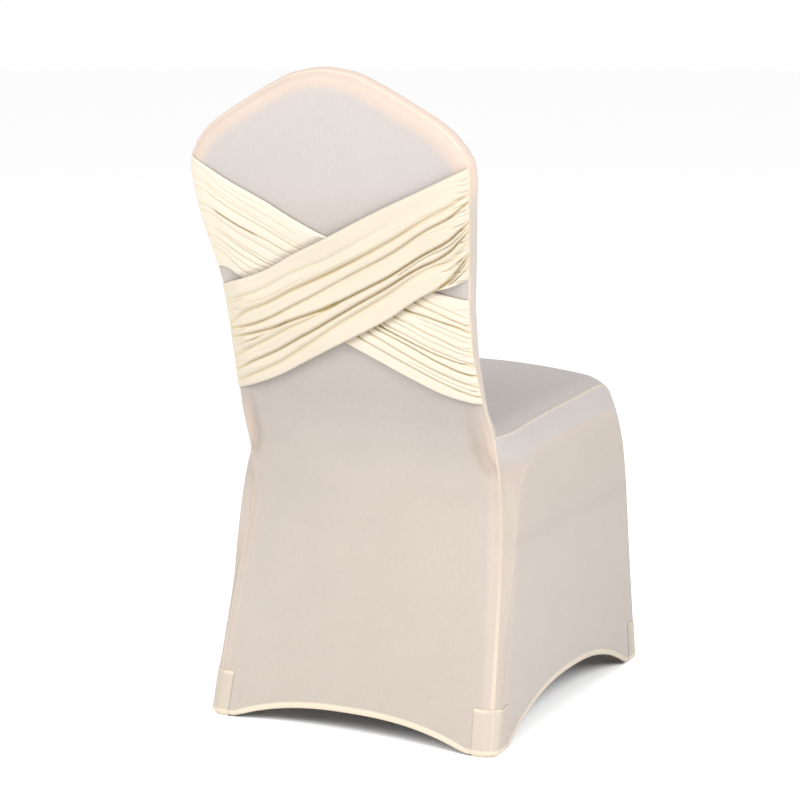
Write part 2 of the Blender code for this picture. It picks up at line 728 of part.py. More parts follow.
def band(back, back_normals, edges, folds, crossing):
    """Outer and inner points of a gathered band that lies on the back panel."""
    half = COLUMNS[-1]
    places = [x / half * BAND_END for x in COLUMNS]
    outer = np.empty((len(folds["left"]), len(places), 3))
    inner = np.empty_like(outer)
    for c, across in enumerate(places):
        upper = curve(edges, "across", "upper", across)
        lower = curve(edges, "across", "lower", across)
        under_upper = curve(UNDER_BAND, "across", "upper", across)
        under_lower = curve(UNDER_BAND, "across", "lower", across)
        over_upper = curve(OVER_BAND, "across", "upper", across)
        over_lower = curve(OVER_BAND, "across", "lower", across)
        over = 1 - smoothstep((abs(across) - CROSSING_HALF) / (BAND_END - CROSSING_HALF))
        at_end = smoothstep((abs(across) - BAND_END_FROM) / BAND_END_BLEND)
        gathered = 1 - (1 - BAND_END_FOLDS) * at_end
        for r in range(outer.shape[0]):
            place = lined_up([folds[k][r] for k in ("left", "middle", "right")], across)
            z = upper * (1 - place) + lower * place
            point, normal = on_back(back, back_normals, across, z)
            uneven = 1 - UNEVEN + UNEVEN * math.cos(UNEVEN_WAVE * across + UNEVEN_STEP * r)
            fold = FOLD_HEIGHT * folds["height"][r] * gathered * uneven
            if crossing:
                beyond = max(z - under_upper, under_lower - z, 0.0)
                kept = 1 - (1 - SLACK_LIFT) * smoothstep(beyond / SLACK_REACH)
                lift = BAND_LIFT + fold + CROSSING_LIFT * over * kept
            else:
                beyond = max(z - over_upper, over_lower - z, 0.0)
                pressed = PRESSED + (1 - PRESSED) * smoothstep((beyond - PRESSED_EDGE) / PRESSED_BLEND)
                lift = BAND_LIFT + fold * pressed
            inner[r, c] = point + normal * lift
            outer[r, c] = point + normal * (lift + BAND_CLOTH)
    return outer, inner


def pocket(name, first, first_normals, second, second_normals):
    """Foot pocket: a patch around the corner seam, a floor and an inner wall with a knee.

    first and second are the lower corner parts of the two panels' grids, row 0
    at the hem and column 0 at their shared seam.
    """
    corner = first_normals[:, :1] + second_normals[:, :1]
    corner = corner / np.linalg.norm(corner, axis=2, keepdims=True)
    points = np.concatenate([first[:, :0:-1], first[:, :1], second[:, 1:]], axis=1)
    normals = np.concatenate([first_normals[:, :0:-1], corner, second_normals[:, 1:]], axis=1)
    turn = np.einsum("ijk,ijk->ij", corner, first_normals[:, :1])[:, :, None]
    reach = np.ones(points.shape[:2] + (1,))
    reach[:, first.shape[1] - 1] = 1 / np.maximum(turn[:, 0], SHARPEST_MITRE)
    near = points + normals * GAP * reach
    far = points + normals * (GAP + CLOTH) * reach
    ends = points[:, [0, -1]] - normals[:, [0, -1]] * (HEM_CLOTH + 3 * GAP)
    start, end = ends[:POCKET_INNER_ROWS + 1, 0], ends[:POCKET_INNER_ROWS + 1, 1]
    knee = np.stack([start[:, 0], end[:, 1], (start[:, 2] + end[:, 2]) / 2], axis=1)
    behind = np.stack([end, knee, start], axis=1)
    aside, away = -np.sign(start[0, 0]), -np.sign(normals[0, 0, 1])
    inward = np.array([[0, away, 0], [aside, away, 0], [aside, 0, 0]])

    def rows_from(skin, low):
        """A skin's rows with its lowest one drawn down along the cloth to a height."""
        drop = (skin[0, :, 2] - low) / (skin[1, :, 2] - skin[0, :, 2])
        foot = skin[0] + (skin[0] - skin[1]) * drop[:, None]
        return np.concatenate([foot[None], skin[1:]])

    mesh = bmesh.new()
    walls = []
    for inner_side, outer_side in ((near, far), (behind, behind + inward * CLOTH)):
        sides = [new_points(mesh, rows_from(skin, CLOTH)) for skin in (inner_side, outer_side)]
        feet = [new_points(mesh, rows_from(skin, 0.0)[:1])[0] for skin in (inner_side, outer_side)]
        walls.append((sides, feet))
        for skin in sides:
            face_cells(mesh, skin, points if inner_side is near else inner_side)
        for r in range(len(sides[0]) - 1):
            for i in (0, -1):
                mesh.faces.new([sides[0][r][i], sides[1][r][i], sides[1][r + 1][i], sides[0][r + 1][i]])
        for i in range(len(sides[0][-1]) - 1):
            mesh.faces.new([sides[0][-1][i], sides[0][-1][i + 1], sides[1][-1][i + 1], sides[1][-1][i]])
    (patch, patch_feet), (screen, screen_feet) = walls
    mesh.faces.new(patch[0][0] + screen[0][0])

    def rim_of(patch_near, patch_far, screen_near, screen_far):
        return (patch_far + patch_near[-1:] + screen_near[:1] + screen_far + screen_near[-1:]
                + patch_near[:1])

    top_rim = rim_of(patch[0][0], patch[1][0], screen[0][0], screen[1][0])
    low_rim = rim_of(*patch_feet, *screen_feet)
    mesh.faces.new(low_rim)
    for i in range(len(low_rim)):
        j = (i + 1) % len(low_rim)
        mesh.faces.new([low_rim[i], low_rim[j], top_rim[j], top_rim[i]])
    for vertex in [v for v in mesh.verts if not v.link_faces]:
        mesh.verts.remove(vertex)
    return finish_object(name, mesh, "pocket")


def build():
    for old in list(bpy.data.objects):
        bpy.data.objects.remove(old)
    grids = {
        "back_panel": back_panel(),
        "front_panel": front_panel(),
        "side_panel_left": side_panel(1),
        "side_panel_right": side_panel(-1),
    }
    outward = {
        "back_panel": (0, 1, 0),
        "front_panel": (0, -0.3, 1),
        "side_panel_left": (1, 0, 0),
        "side_panel_right": (-1, 0, 0),
    }
    normals = {name: grid_normals(grid, outward[name]) for name, grid in grids.items()}
    shared = shared_normals(grids, normals)
    for name, grid in grids.items():
        hem_row = -1 if name == "front_panel" else 0
        thickness = panel_thickness(grid, hem_row)
        outer, inner = skins(grid, normals[name], shared, thickness, hem_row)
        sheet_object(name, outer, inner, "panel")
    back, back_normals = grids["back_panel"], normals["back_panel"]
    for name, edges, folds, crossing in (("band_over", OVER_BAND, OVER_FOLDS, True),
                                         ("band_under", UNDER_BAND, UNDER_FOLDS, False)):
        outer, inner = band(back, back_normals, edges, folds, crossing)
        sheet_object(name, outer, inner, "band")
    corners = {
        "rear_left": ("back_panel", -1, "side_panel_left", 0),
        "rear_right": ("back_panel", 0, "side_panel_right", 0),
        "front_left": ("front_panel", -1, "side_panel_left", -1),
        "front_right": ("front_panel", 0, "side_panel_right", -1),
    }
    for corner, (first, first_edge, second, second_edge) in corners.items():
        cut = []
        for name, edge, count in ((first, first_edge, POCKET_COLUMNS_BACK),
                                  (second, second_edge, POCKET_COLUMNS_SIDE)):
            for source in (grids[name], normals[name]):
                rows = source[::-1] if name == "front_panel" else source
                rows = rows if edge == 0 else rows[:, ::-1]
                cut.append(rows[:POCKET_ROWS + 1, :count + 1])
        pocket("foot_pocket_" + corner, *cut)


build()
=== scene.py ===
"""Stretch chair cover with two gathered bands crossed over its back, in a plain studio.

It has the shape that it takes in use. The seat's front faces -Y, and the back, which carries
the bands, faces +Y. The four foot pockets stand on z = 0.
"""
import math

import bmesh
import bpy
import numpy as np
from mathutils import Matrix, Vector


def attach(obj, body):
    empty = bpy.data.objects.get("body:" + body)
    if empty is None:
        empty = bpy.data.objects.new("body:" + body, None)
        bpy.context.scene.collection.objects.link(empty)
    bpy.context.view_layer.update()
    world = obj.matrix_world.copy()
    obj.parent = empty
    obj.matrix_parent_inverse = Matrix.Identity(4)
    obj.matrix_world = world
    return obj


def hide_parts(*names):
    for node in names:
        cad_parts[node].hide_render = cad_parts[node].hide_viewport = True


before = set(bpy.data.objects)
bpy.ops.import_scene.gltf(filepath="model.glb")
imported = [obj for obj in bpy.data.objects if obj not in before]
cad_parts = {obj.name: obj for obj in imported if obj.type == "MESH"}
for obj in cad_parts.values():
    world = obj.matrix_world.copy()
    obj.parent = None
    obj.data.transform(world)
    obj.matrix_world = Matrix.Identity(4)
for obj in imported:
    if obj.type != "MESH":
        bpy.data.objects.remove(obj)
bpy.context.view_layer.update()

# Back panel
# The rear sheet of thin ivory stretch knit, cut in one piece from the crown seam down to
# the arched hem between the rear legs, and overlocked to its neighbours on the inside.
# Stretched this far the knit turns sheer, and it looks cream only where it lies double.
CLOTH = 0.0010            # thickness of the stretched knit
HEM_CLOTH = 0.0024        # and of the turned-up hem
HEM_HEIGHT = 0.0085       # of the turned-up part
MITRE = 0.8               # how far the inner skin stops short of a seam, as a share of the cloth
HEM_EDGE_ROUND = 0.3      # share of its thickness that the hem's lower edge is rounded by
HEM_BASE = 0.0018         # height of the hem where it stands in a foot pocket
FINER = 6                 # grid cells for each step of the tables below
MIDDLE_DEPTH = -0.0163    # middle of the cover's depth, which becomes y = 0


def table(columns, *rows):
    """Rows of numbers as one array for each named column; a short row keeps its last value."""
    return {name: np.array([row[min(i, len(row) - 1)] for row in rows])
            for i, name in enumerate(columns.split())}


# Seam between the back panel and the side and front panels, floor to shoulder
REAR_SEAM = table(
    "height half_width depth",
    (0.000, 0.2245, 0.2275),
    (0.060, 0.2212, 0.2118),
    (0.120, 0.2180, 0.1970),
    (0.200, 0.2117, 0.1735),
    (0.260, 0.2064, 0.1560),
    (0.300, 0.2030, 0.1455),
    (0.335, 0.2008, 0.1422),
    (0.375, 0.2004, 0.1480),
    (0.440, 0.2010, 0.1693),
    (0.480, 0.1964, 0.1865),
    (0.520, 0.1933, 0.2015),
    (0.570, 0.1905, 0.2170),
    (0.620, 0.1911, 0.2290),
    (0.680, 0.1975, 0.2450),
    (0.740, 0.2067, 0.2655),
    (0.780, 0.2113, 0.2755),
    (0.808, 0.2138, 0.2800),
    (0.827, 0.2120, 0.2830),
    (0.8443, 0.2025, 0.2853),
    (0.900, 0.2025, 0.2905),
    (0.960, 0.2025, 0.2940),
)
WIDEST = 0.808
SHOULDER = 0.8443         # height where the side seam becomes the crown seam
JUNCTION = 0.440          # height where the side panel's corner is sewn in

# Crown seam, shoulder to shoulder
CROWN_SEAM = table(
    "across height",
    (-0.2025, 0.8443),
    (-0.1860, 0.8624),
    (-0.1649, 0.8781),
    (-0.1243, 0.9010),
    (-0.0841, 0.9222),
    (-0.0426, 0.9394),
    (0.0000, 0.9453),
    (0.0426, 0.9394),
    (0.0841, 0.9222),
    (0.1243, 0.9010),
    (0.1649, 0.8781),
    (0.1860, 0.8624),
    (0.2025, 0.8443),
)
CROWN_HALF = CROWN_SEAM["across"][-1]

# How far the middle of the back panel stands out behind its seams
BACK_BULGE = table(
    "height bulge",
    (0.000, 0.002),
    (0.120, 0.007),
    (0.240, 0.0245),
    (0.340, 0.037),
    (0.420, 0.024),
    (0.490, 0.011),
    (0.600, 0.008),
    (0.800, 0.008),
    (0.960, 0.004),
)
BULGE_FROM_SEAM = 0.010   # distance over which that bulge grows in from the seams
RIM_RISE = 0.006          # back panel behind its seam, once past the rim
RIM_WIDTH = 0.022         # distance over which it rises
RIM_POWER = 3.5
REAR_HEM_ARCH = 0.031     # rise of the hem's middle above its feet
HEM_ARCH_POWER = 2.4
POCKET_SHARE = 0.155      # part of a hem's half length that stands level in a pocket

# Hollow beside the ridge that each upright makes at the waist. It starts under the bands,
# bends away from the seam and runs back into it as a dimple.
WAIST_HOLLOW = table(
    "height reach depth",
    (0.372, 0.0020, 0.0000),
    (0.384, 0.0050, 0.0034),
    (0.394, 0.0090, 0.0064),
    (0.408, 0.0145, 0.0070),
    (0.426, 0.0180, 0.0062),
    (0.450, 0.0180, 0.0038),
    (0.480, 0.0135, 0.0020),
    (0.500, 0.0100, 0.0000),
)
HOLLOW_WIDTH = 0.0085
HOLLOW_FROM_SEAM = 0.007  # distance over which it grows in from the seam

# Grid lines. Heights above the hem at the side seams, then across the back
HEIGHTS = (0, 0.009, 0.010, 0.028, 0.046, 0.062, 0.100, 0.140, 0.180, 0.220, 0.260, 0.300,
           0.335, 0.365, 0.392, 0.416, JUNCTION - HEM_BASE)
UPPER_HEIGHTS = (0.460, 0.485, 0.512, 0.540, 0.572, 0.605, 0.640, 0.675, 0.710, 0.745, 0.775,
                 0.800, 0.818, 0.828, 0.837, SHOULDER)
EDGE_STEPS = (0, 0.0056, 0.0130, 0.0235)
MIDDLE_CELLS = 14


def curve(rows, along, value, at):
    """Values on a smooth curve through a table's rows that never overshoots them."""
    x, y = rows[along], rows[value]
    rise = np.diff(y) / np.diff(x)
    slope = np.empty_like(y)
    slope[0], slope[-1] = rise[0], rise[-1]
    product = rise[1:] * rise[:-1]
    total = np.where(product > 0, rise[1:] + rise[:-1], 1.0)
    slope[1:-1] = np.where(product > 0, 2 * product / total, 0.0)
    k = np.clip(np.searchsorted(x, at) - 1, 0, len(rise) - 1)
    width = x[k + 1] - x[k]
    t = np.clip((at - x[k]) / width, 0.0, 1.0)
    return ((1 + 2 * t) * (1 - t) ** 2 * y[k] + t * (1 - t) ** 2 * width * slope[k]
            + t * t * (3 - 2 * t) * y[k + 1] + t * t * (t - 1) * width * slope[k + 1])


def smoothstep(t):
    t = np.clip(t, 0.0, 1.0)
    return t * t * (3 - 2 * t)


def unit(v):
    return v / np.maximum(np.linalg.norm(v, axis=-1, keepdims=True), 1e-12)


def finer(values):
    """The same steps, each cut into equal smaller ones."""
    count = (len(values) - 1) * FINER
    return np.interp(np.arange(count + 1) / FINER, np.arange(len(values)), values)


def places(x, y, z):
    return np.stack(np.broadcast_arrays(x, y, z), axis=-1).astype(float)


def seam_depth(z):
    return curve(REAR_SEAM, "height", "depth", z)


def rear_seam(z, side):
    return places(side * curve(REAR_SEAM, "height", "half_width", z), seam_depth(z), z)


def crown_seam(x):
    z = curve(CROWN_SEAM, "across", "height", x)
    return places(x, seam_depth(z), z)


OUTLINE_STEPS = 700       # along each seam, for measuring distances from them
OUTLINE = np.concatenate(
    [rear_seam(np.linspace(0, SHOULDER, OUTLINE_STEPS), side) for side in (1, -1)]
    + [crown_seam(np.linspace(-CROWN_HALF, CROWN_HALF, OUTLINE_STEPS))])


def from_outline(x, z):
    """Distance from the back panel's sewn outline, seen from behind."""
    found = [np.hypot(OUTLINE[:, :1] - row_x, OUTLINE[:, 2:] - row_z).min(axis=0)
             for row_x, row_z in zip(x, z)]
    return np.array(found)


def waist_hollow(z, reach):
    """Depth of the hollow beside the upright at a height and a distance from the seam."""
    beside = (reach - curve(WAIST_HOLLOW, "height", "reach", z)) / HOLLOW_WIDTH
    return curve(WAIST_HOLLOW, "height", "depth", z) * np.exp(-beside ** 2)


def back_depth(x, z, reach):
    """Depth of the rear cloth: its seam's depth, the bulge, the rim and the upright's ridge."""
    half = curve(REAR_SEAM, "height", "half_width", np.minimum(z, WIDEST))
    bulge = curve(BACK_BULGE, "height", "bulge", z) * (1 - np.minimum(1.0, (x / half) ** 2))
    rim = RIM_RISE * (1 - (1 - np.minimum(reach / RIM_WIDTH, 1.0)) ** RIM_POWER)
    hollow = waist_hollow(z, reach) * smoothstep(reach / HOLLOW_FROM_SEAM)
    return seam_depth(z) + bulge * smoothstep(reach / BULGE_FROM_SEAM) + rim - hollow


def crown_columns():
    """Places of the grid's columns across the crown, -x to +x."""
    edge = [CROWN_HALF - step for step in EDGE_STEPS]
    middle = np.linspace(edge[-1], -edge[-1], MIDDLE_CELLS + 1)
    return np.array(edge[:-1] + list(middle) + [-x for x in edge[:-1][::-1]])[::-1]


COLUMNS = finer(crown_columns())
SIDE_HEIGHTS = finer([h + HEM_BASE for h in HEIGHTS] + list(UPPER_HEIGHTS))
LOWER_ROWS = (len(HEIGHTS) - 1) * FINER + 1      # grid rows from the hem up to the junction


def hem_rise(place, arch):
    """Height of a hem's arch; place runs from -1 at one foot to +1 at the other."""
    past_pocket = np.maximum(0.0, 1 - np.abs(place) - POCKET_SHARE) / (1 - POCKET_SHARE)
    return arch * (1 - (1 - past_pocket) ** HEM_ARCH_POWER)


def coons(bottom, top, left, right, us, vs):
    """Grid of points inside four edge curves, each given as points along it."""
    u, v = us[None, :, None], vs[:, None, None]
    return ((1 - v) * bottom[None] + v * top[None] + (1 - u) * left[:, None] + u * right[:, None]
            - (1 - u) * (1 - v) * bottom[0] - u * (1 - v) * bottom[-1]
            - (1 - u) * v * top[0] - u * v * top[-1])


def share_of(values):
    return (values - values[0]) / (values[-1] - values[0])


def back_grid():
    us, vs = share_of(COLUMNS), share_of(SIDE_HEIGHTS)
    left, right = rear_seam(SIDE_HEIGHTS, -1), rear_seam(SIDE_HEIGHTS, 1)
    bottom = left[0] * (1 - us[:, None]) + right[0] * us[:, None]
    bottom[:, 2] += hem_rise(2 * us - 1, REAR_HEM_ARCH)
    grid = coons(bottom, crown_seam(COLUMNS), left, right, us, vs)
    reach = from_outline(grid[:, :, 0], grid[:, :, 2])
    reach[:, [0, -1]] = 0
    reach[-1] = 0
    seam = seam_depth(grid[:, :, 2])
    depth = back_depth(grid[:, :, 0], grid[:, :, 2], reach)
    grid[:, :, 1] = np.where(reach > 0, depth, seam)
    return grid


# The rounded foot of each corner, which turns in under the leg's end
FOOT_RADIUS = 0.0085
FOOT_TURN = 0.018         # how far from the corner the turn reaches along each panel
CORNER_X = 0.2245
CORNER_BACK, CORNER_FRONT = 0.2275, -0.3255


def rounded_foot(grid):
    """The grid with its lowest part turned in below the four corners."""
    low = np.clip((FOOT_RADIUS - grid[:, :, 2]) / FOOT_RADIUS, 0, 1)
    turned = FOOT_RADIUS * (1 - np.sqrt(1 - low ** 2))
    x, y = grid[:, :, 0], grid[:, :, 1]
    near_side = smoothstep((np.abs(x) - CORNER_X + FOOT_TURN) / FOOT_TURN)
    near_back = smoothstep((y - CORNER_BACK + FOOT_TURN) / FOOT_TURN)
    near_front = smoothstep((CORNER_FRONT + FOOT_TURN - y) / FOOT_TURN)
    moved = grid.copy()
    moved[:, :, 0] -= np.sign(x) * turned * near_side
    moved[:, :, 1] += turned * (near_front - near_back)
    return moved


def grid_normals(grid, outward):
    """Unit normals at a grid's points, on the side that outward points to."""
    normals = unit(np.cross(np.gradient(grid, axis=1), np.gradient(grid, axis=0)))
    middle = normals[normals.shape[0] // 2, normals.shape[1] // 2]
    return normals if middle @ np.asarray(outward) > 0 else -normals


def along_rows(grid):
    """Distance along the cloth from a grid's first column."""
    steps = np.linalg.norm(np.diff(grid, axis=1), axis=2)
    return np.concatenate([np.zeros((len(grid), 1)), np.cumsum(steps, axis=1)], axis=1)


def along_columns(grid):
    """Distance along the cloth from a grid's first row."""
    return along_rows(grid.transpose(1, 0, 2)).T


def loop_of(rows, columns):
    """Grid positions around a grid's edge, in order."""
    return ([(0, c) for c in range(columns - 1)] + [(r, columns - 1) for r in range(rows - 1)]
            + [(rows - 1, c) for c in range(columns - 1, 0, -1)]
            + [(r, 0) for r in range(rows - 1, 0, -1)])


# Seams and hems: the cloth swells over the turned-in edges, and the hem's stitch line dips
SEAM_SWELL = 0.0005
SEAM_SWELL_AT, SEAM_SWELL_WIDTH = 0.0014, 0.0014
HEM_SWELL = 0.0005
HEM_STITCH_DEPTH, HEM_STITCH_WIDTH = 0.0003, 0.0012
HEM_PUCKER, HEM_PUCKER_LENGTH = 0.00022, 0.0046
SHARP_ANGLE = math.radians(60)


def seam_relief(from_seam):
    return SEAM_SWELL * np.exp(-((from_seam - SEAM_SWELL_AT) / SEAM_SWELL_WIDTH) ** 2)


def hem_relief(from_hem, along):
    """Swelling of the turned-up hem, the groove of its stitch line and its small puckers."""
    inside = np.clip(from_hem / HEM_HEIGHT, 0, 1)
    groove = np.exp(-((from_hem - HEM_HEIGHT) / HEM_STITCH_WIDTH) ** 2)
    pucker = np.exp(-((from_hem - HEM_HEIGHT) / (3 * HEM_STITCH_WIDTH)) ** 2)
    return (HEM_SWELL * np.sin(math.pi * inside) - HEM_STITCH_DEPTH * groove
            + HEM_PUCKER * pucker * np.sin(2 * math.pi * along / HEM_PUCKER_LENGTH))


def two_skins(grid, normals, thickness, relief, hem_row):
    """Outer and inner points of a panel, mitred along its seams and rounded along its hem."""
    outer = grid + normals * relief[:, :, None]
    inner = grid - normals * thickness[:, :, None]
    crown_row = -1 if hem_row == 0 else 0
    inward = np.zeros_like(grid)
    inward[:, 0] = unit(grid[:, 1] - grid[:, 0])
    inward[:, -1] = unit(grid[:, -2] - grid[:, -1])
    beside = grid[-2] if hem_row == 0 else grid[1]
    inward[crown_row] += unit(beside - grid[crown_row])
    sewn = np.linalg.norm(inward, axis=2, keepdims=True) > 0
    outer = np.where(sewn, grid, outer)
    inner = inner + inward * MITRE * thickness[:, :, None]
    turned = (outer[hem_row] - inner[hem_row]) * HEM_EDGE_ROUND
    outer[hem_row] -= turned
    inner[hem_row] += turned
    return outer, inner


def cells_of(spot):
    """Four-cornered faces between the numbered points of a grid."""
    corners = [spot[:-1, :-1], spot[:-1, 1:], spot[1:, 1:], spot[1:, :-1]]
    return np.stack(corners, axis=-1).reshape(-1, 4)


def linked(name, mesh):
    """The mesh as an object of the scene, smooth but for its sharp edges."""
    mesh.shade_smooth()
    mesh.set_sharp_from_angle(angle=SHARP_ANGLE)
    made = bpy.data.objects.new(name, mesh)
    bpy.context.scene.collection.objects.link(made)
    return made


def cloth_object(name, outer, inner, masks):
    """One closed sheet between two grids of points, with its masks kept as attributes."""
    rows, columns = outer.shape[:2]
    count = rows * columns
    spot = np.arange(count).reshape(rows, columns)
    cells = cells_of(spot)
    loop = np.array([spot[place] for place in loop_of(rows, columns)])
    after = np.roll(loop, -1)
    rim = np.stack([after, loop, loop + count, after + count], axis=-1)
    faces = np.concatenate([cells, cells[:, ::-1] + count, rim])
    corners = np.concatenate([outer.reshape(-1, 3), inner.reshape(-1, 3)])
    first = unit(np.cross(outer[1, 0] - outer[0, 0], outer[0, 1] - outer[0, 0]))
    if first @ (outer[0, 0] - inner[0, 0]) > 0:
        faces = faces[:, ::-1]
    corners[:, 1] -= MIDDLE_DEPTH
    mesh = bpy.data.meshes.new(name)
    mesh.from_pydata(corners, [], faces.tolist())
    laid_flat = np.stack([along_rows(outer), along_columns(outer)], axis=-1).reshape(-1, 2)
    laid_flat = np.concatenate([laid_flat, laid_flat])
    layer = mesh.uv_layers.new(name="cloth")
    spots = np.empty(len(mesh.loops), dtype=int)
    mesh.loops.foreach_get("vertex_index", spots)
    layer.data.foreach_set("uv", laid_flat[spots].astype(np.float32).ravel())
    for mask, values in masks.items():
        attribute = mesh.attributes.new(mask, "FLOAT", "POINT")
        flat = np.broadcast_to(values, (rows, columns)).reshape(-1)
        attribute.data.foreach_set("value", np.concatenate([flat, flat]).astype(np.float32))
    return linked(name, mesh)


def part_of_tree(tree, kind, settings=(), **inputs):
    """A new shader node with its settings and its unlinked inputs or links."""
    made = tree.nodes.new(kind)
    for name, value in dict(settings).items():
        setattr(made, name, value)
    for name, value in inputs.items():
        socket = made.inputs[int(name[1:])] if name[0] == "_" else made.inputs[name]
        if isinstance(value, bpy.types.NodeSocket):
            tree.links.new(value, socket)
        else:
            socket.default_value = value
    return made


def math_node(tree, operation, first, second=0.0, third=0.0):
    return part_of_tree(tree, "ShaderNodeMath", {"operation": operation}, _0=first, _1=second,
                        _2=third).outputs[0]


# Knit: size of its loops, their relief, and the scales and shares of its uneven fleck
KNIT_PITCH = 0.0013
LOOP_STRENGTH, LOOP_RELIEF = 0.25, 0.0003
FINE_SCALE, FINE_SHARE = 420.0, 0.35
STREAK_SCALE, STREAK_SHARE = (330.0, 70.0, 1.0), 0.4
CLOUD_SCALE, CLOUD_SHARE = 14.0, 0.25
KNIT_ROUGHNESS, KNIT_SPECULAR = 0.72, 0.25
KNIT_SHEEN, KNIT_SHEEN_ROUGHNESS = 0.1, 0.45


def stretch_knit_group():
    """Fine jersey loops in the cloth's own directions, and the uneven fleck of a thin knit."""
    tree = bpy.data.node_groups.new("stretch_knit", "ShaderNodeTree")
    tree.interface.new_socket("Pitch", in_out="INPUT", socket_type="NodeSocketFloat")
    tree.interface.new_socket("Relief", in_out="OUTPUT", socket_type="NodeSocketFloat")
    tree.interface.new_socket("Fleck", in_out="OUTPUT", socket_type="NodeSocketFloat")
    given = tree.nodes.new("NodeGroupInput")
    cloth = part_of_tree(tree, "ShaderNodeUVMap", {"uv_map": "cloth"}).outputs[0]
    apart = part_of_tree(tree, "ShaderNodeSeparateXYZ", _0=cloth)
    wale = math_node(tree, "DIVIDE", apart.outputs[0], given.outputs["Pitch"])
    course = math_node(tree, "DIVIDE", apart.outputs[1], given.outputs["Pitch"])
    across = math_node(tree, "PINGPONG", wale, 0.5)
    loops = math_node(tree, "PINGPONG", math_node(tree, "ADD", course, across), 0.5)
    relief = math_node(tree, "ADD", loops, across)
    streaks = part_of_tree(tree, "ShaderNodeMapping", Vector=cloth, Scale=STREAK_SCALE).outputs[0]
    fleck = 0.0
    for spread, scale, share in ((cloth, FINE_SCALE, FINE_SHARE), (streaks, 1.0, STREAK_SHARE),
                                 (cloth, CLOUD_SCALE, CLOUD_SHARE)):
        noise = part_of_tree(tree, "ShaderNodeTexNoise", Vector=spread, Scale=scale, Detail=2.0)
        fleck = math_node(tree, "MULTIPLY_ADD", noise.outputs[0], share, fleck)
    out = tree.nodes.new("NodeGroupOutput")
    tree.links.new(relief, out.inputs["Relief"])
    tree.links.new(fleck, out.inputs["Fleck"])
    return tree


def sheer_tint_group():
    """Colour of thin cloth: cool over the pad, peach over a rim, cream where it lies double, darkened by the
    shade mask; in places the peach and the shade are painted shade.
    """
    tree = bpy.data.node_groups.new("sheer_tint", "ShaderNodeTree")
    for name in ("Sheer", "Cool", "Peach", "Double"):
        tree.interface.new_socket(name, in_out="INPUT", socket_type="NodeSocketColor")
    for name in ("Fleck", "Fleck Depth"):
        tree.interface.new_socket(name, in_out="INPUT", socket_type="NodeSocketFloat")
    tree.interface.new_socket("Color", in_out="OUTPUT", socket_type="NodeSocketColor")
    given = tree.nodes.new("NodeGroupInput")
    colour = given.outputs["Sheer"]
    for name in ("Cool", "Peach", "Double"):
        mask = part_of_tree(tree, "ShaderNodeAttribute", {"attribute_name": name.lower()})
        mixed = part_of_tree(tree, "ShaderNodeMix", {"data_type": "RGBA"}, _0=mask.outputs["Fac"],
                             _6=colour, _7=given.outputs[name])
        colour = mixed.outputs[2]
    centred = math_node(tree, "SUBTRACT", given.outputs["Fleck"], 0.5)
    flecked = math_node(tree, "MULTIPLY_ADD", centred, given.outputs["Fleck Depth"], 1.0)
    shade = part_of_tree(tree, "ShaderNodeAttribute", {"attribute_name": "shade"})
    lit = math_node(tree, "SUBTRACT", flecked, shade.outputs["Fac"])
    dyed = part_of_tree(tree, "ShaderNodeVectorMath", {"operation": "SCALE"}, _0=colour, Scale=lit)
    out = tree.nodes.new("NodeGroupOutput")
    tree.links.new(dyed.outputs[0], out.inputs["Color"])
    return tree


STRETCH_KNIT, SHEER_TINT = stretch_knit_group(), sheer_tint_group()


def knit_finish(name, sheer, cool, peach, double, fleck_depth):
    """Matt stretch knit with its own colours."""
    material = bpy.data.materials.new(name)
    material.use_nodes = True
    tree = material.node_tree
    shader = tree.nodes["Principled BSDF"]
    knit = part_of_tree(tree, "ShaderNodeGroup", {"node_tree": STRETCH_KNIT}, Pitch=KNIT_PITCH)
    tint = part_of_tree(tree, "ShaderNodeGroup", {"node_tree": SHEER_TINT}, Sheer=(*sheer, 1),
                        Cool=(*cool, 1), Peach=(*peach, 1), Double=(*double, 1),
                        Fleck=knit.outputs["Fleck"])
    tint.inputs["Fleck Depth"].default_value = fleck_depth
    bump = part_of_tree(tree, "ShaderNodeBump", Strength=LOOP_STRENGTH, Distance=LOOP_RELIEF,
                        Height=knit.outputs["Relief"])
    tree.links.new(tint.outputs["Color"], shader.inputs["Base Color"])
    tree.links.new(bump.outputs["Normal"], shader.inputs["Normal"])
    shader.inputs["Roughness"].default_value = KNIT_ROUGHNESS
    shader.inputs["Specular IOR Level"].default_value = KNIT_SPECULAR
    shader.inputs["Sheen Weight"].default_value = KNIT_SHEEN
    shader.inputs["Sheen Roughness"].default_value = KNIT_SHEEN_ROUGHNESS
    return material


PANEL_KNIT = knit_finish("panel_knit", sheer=(0.310, 0.273, 0.241), cool=(0.320, 0.294, 0.280),
                         peach=(0.388, 0.316, 0.268), double=(0.460, 0.395, 0.312),
                         fleck_depth=0.26)


def finish_piece(piece, node, material):
    """The piece in place of its plain solid, with its finish."""
    piece.data.materials.append(material)
    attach(piece, "root")
    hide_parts(node)


# Cream line of the turned-in edges beside a seam, wider towards the floor
DOUBLE_WIDTH, DOUBLE_WIDTH_LOW = 0.0011, 0.0028
DOUBLE_WIDE_BELOW = 0.30
SEAM_DOUBLE = 0.9
HEM_EDGE_BLEND = 0.0022


def double_mask(from_seam, from_hem, z, hem_share=1.0):
    """Where the cloth lies double: beside a seam and in the hem."""
    width = DOUBLE_WIDTH_LOW + (DOUBLE_WIDTH - DOUBLE_WIDTH_LOW) * smoothstep(z / DOUBLE_WIDE_BELOW)
    seam = SEAM_DOUBLE * np.exp(-(from_seam / width) ** 2)
    hem = 1 - smoothstep((from_hem - HEM_HEIGHT + HEM_EDGE_BLEND / 2) / HEM_EDGE_BLEND)
    return np.clip(seam + hem_share * hem, 0, 1)


cut = {}                  # each panel's grid and normals, for what is fitted over it


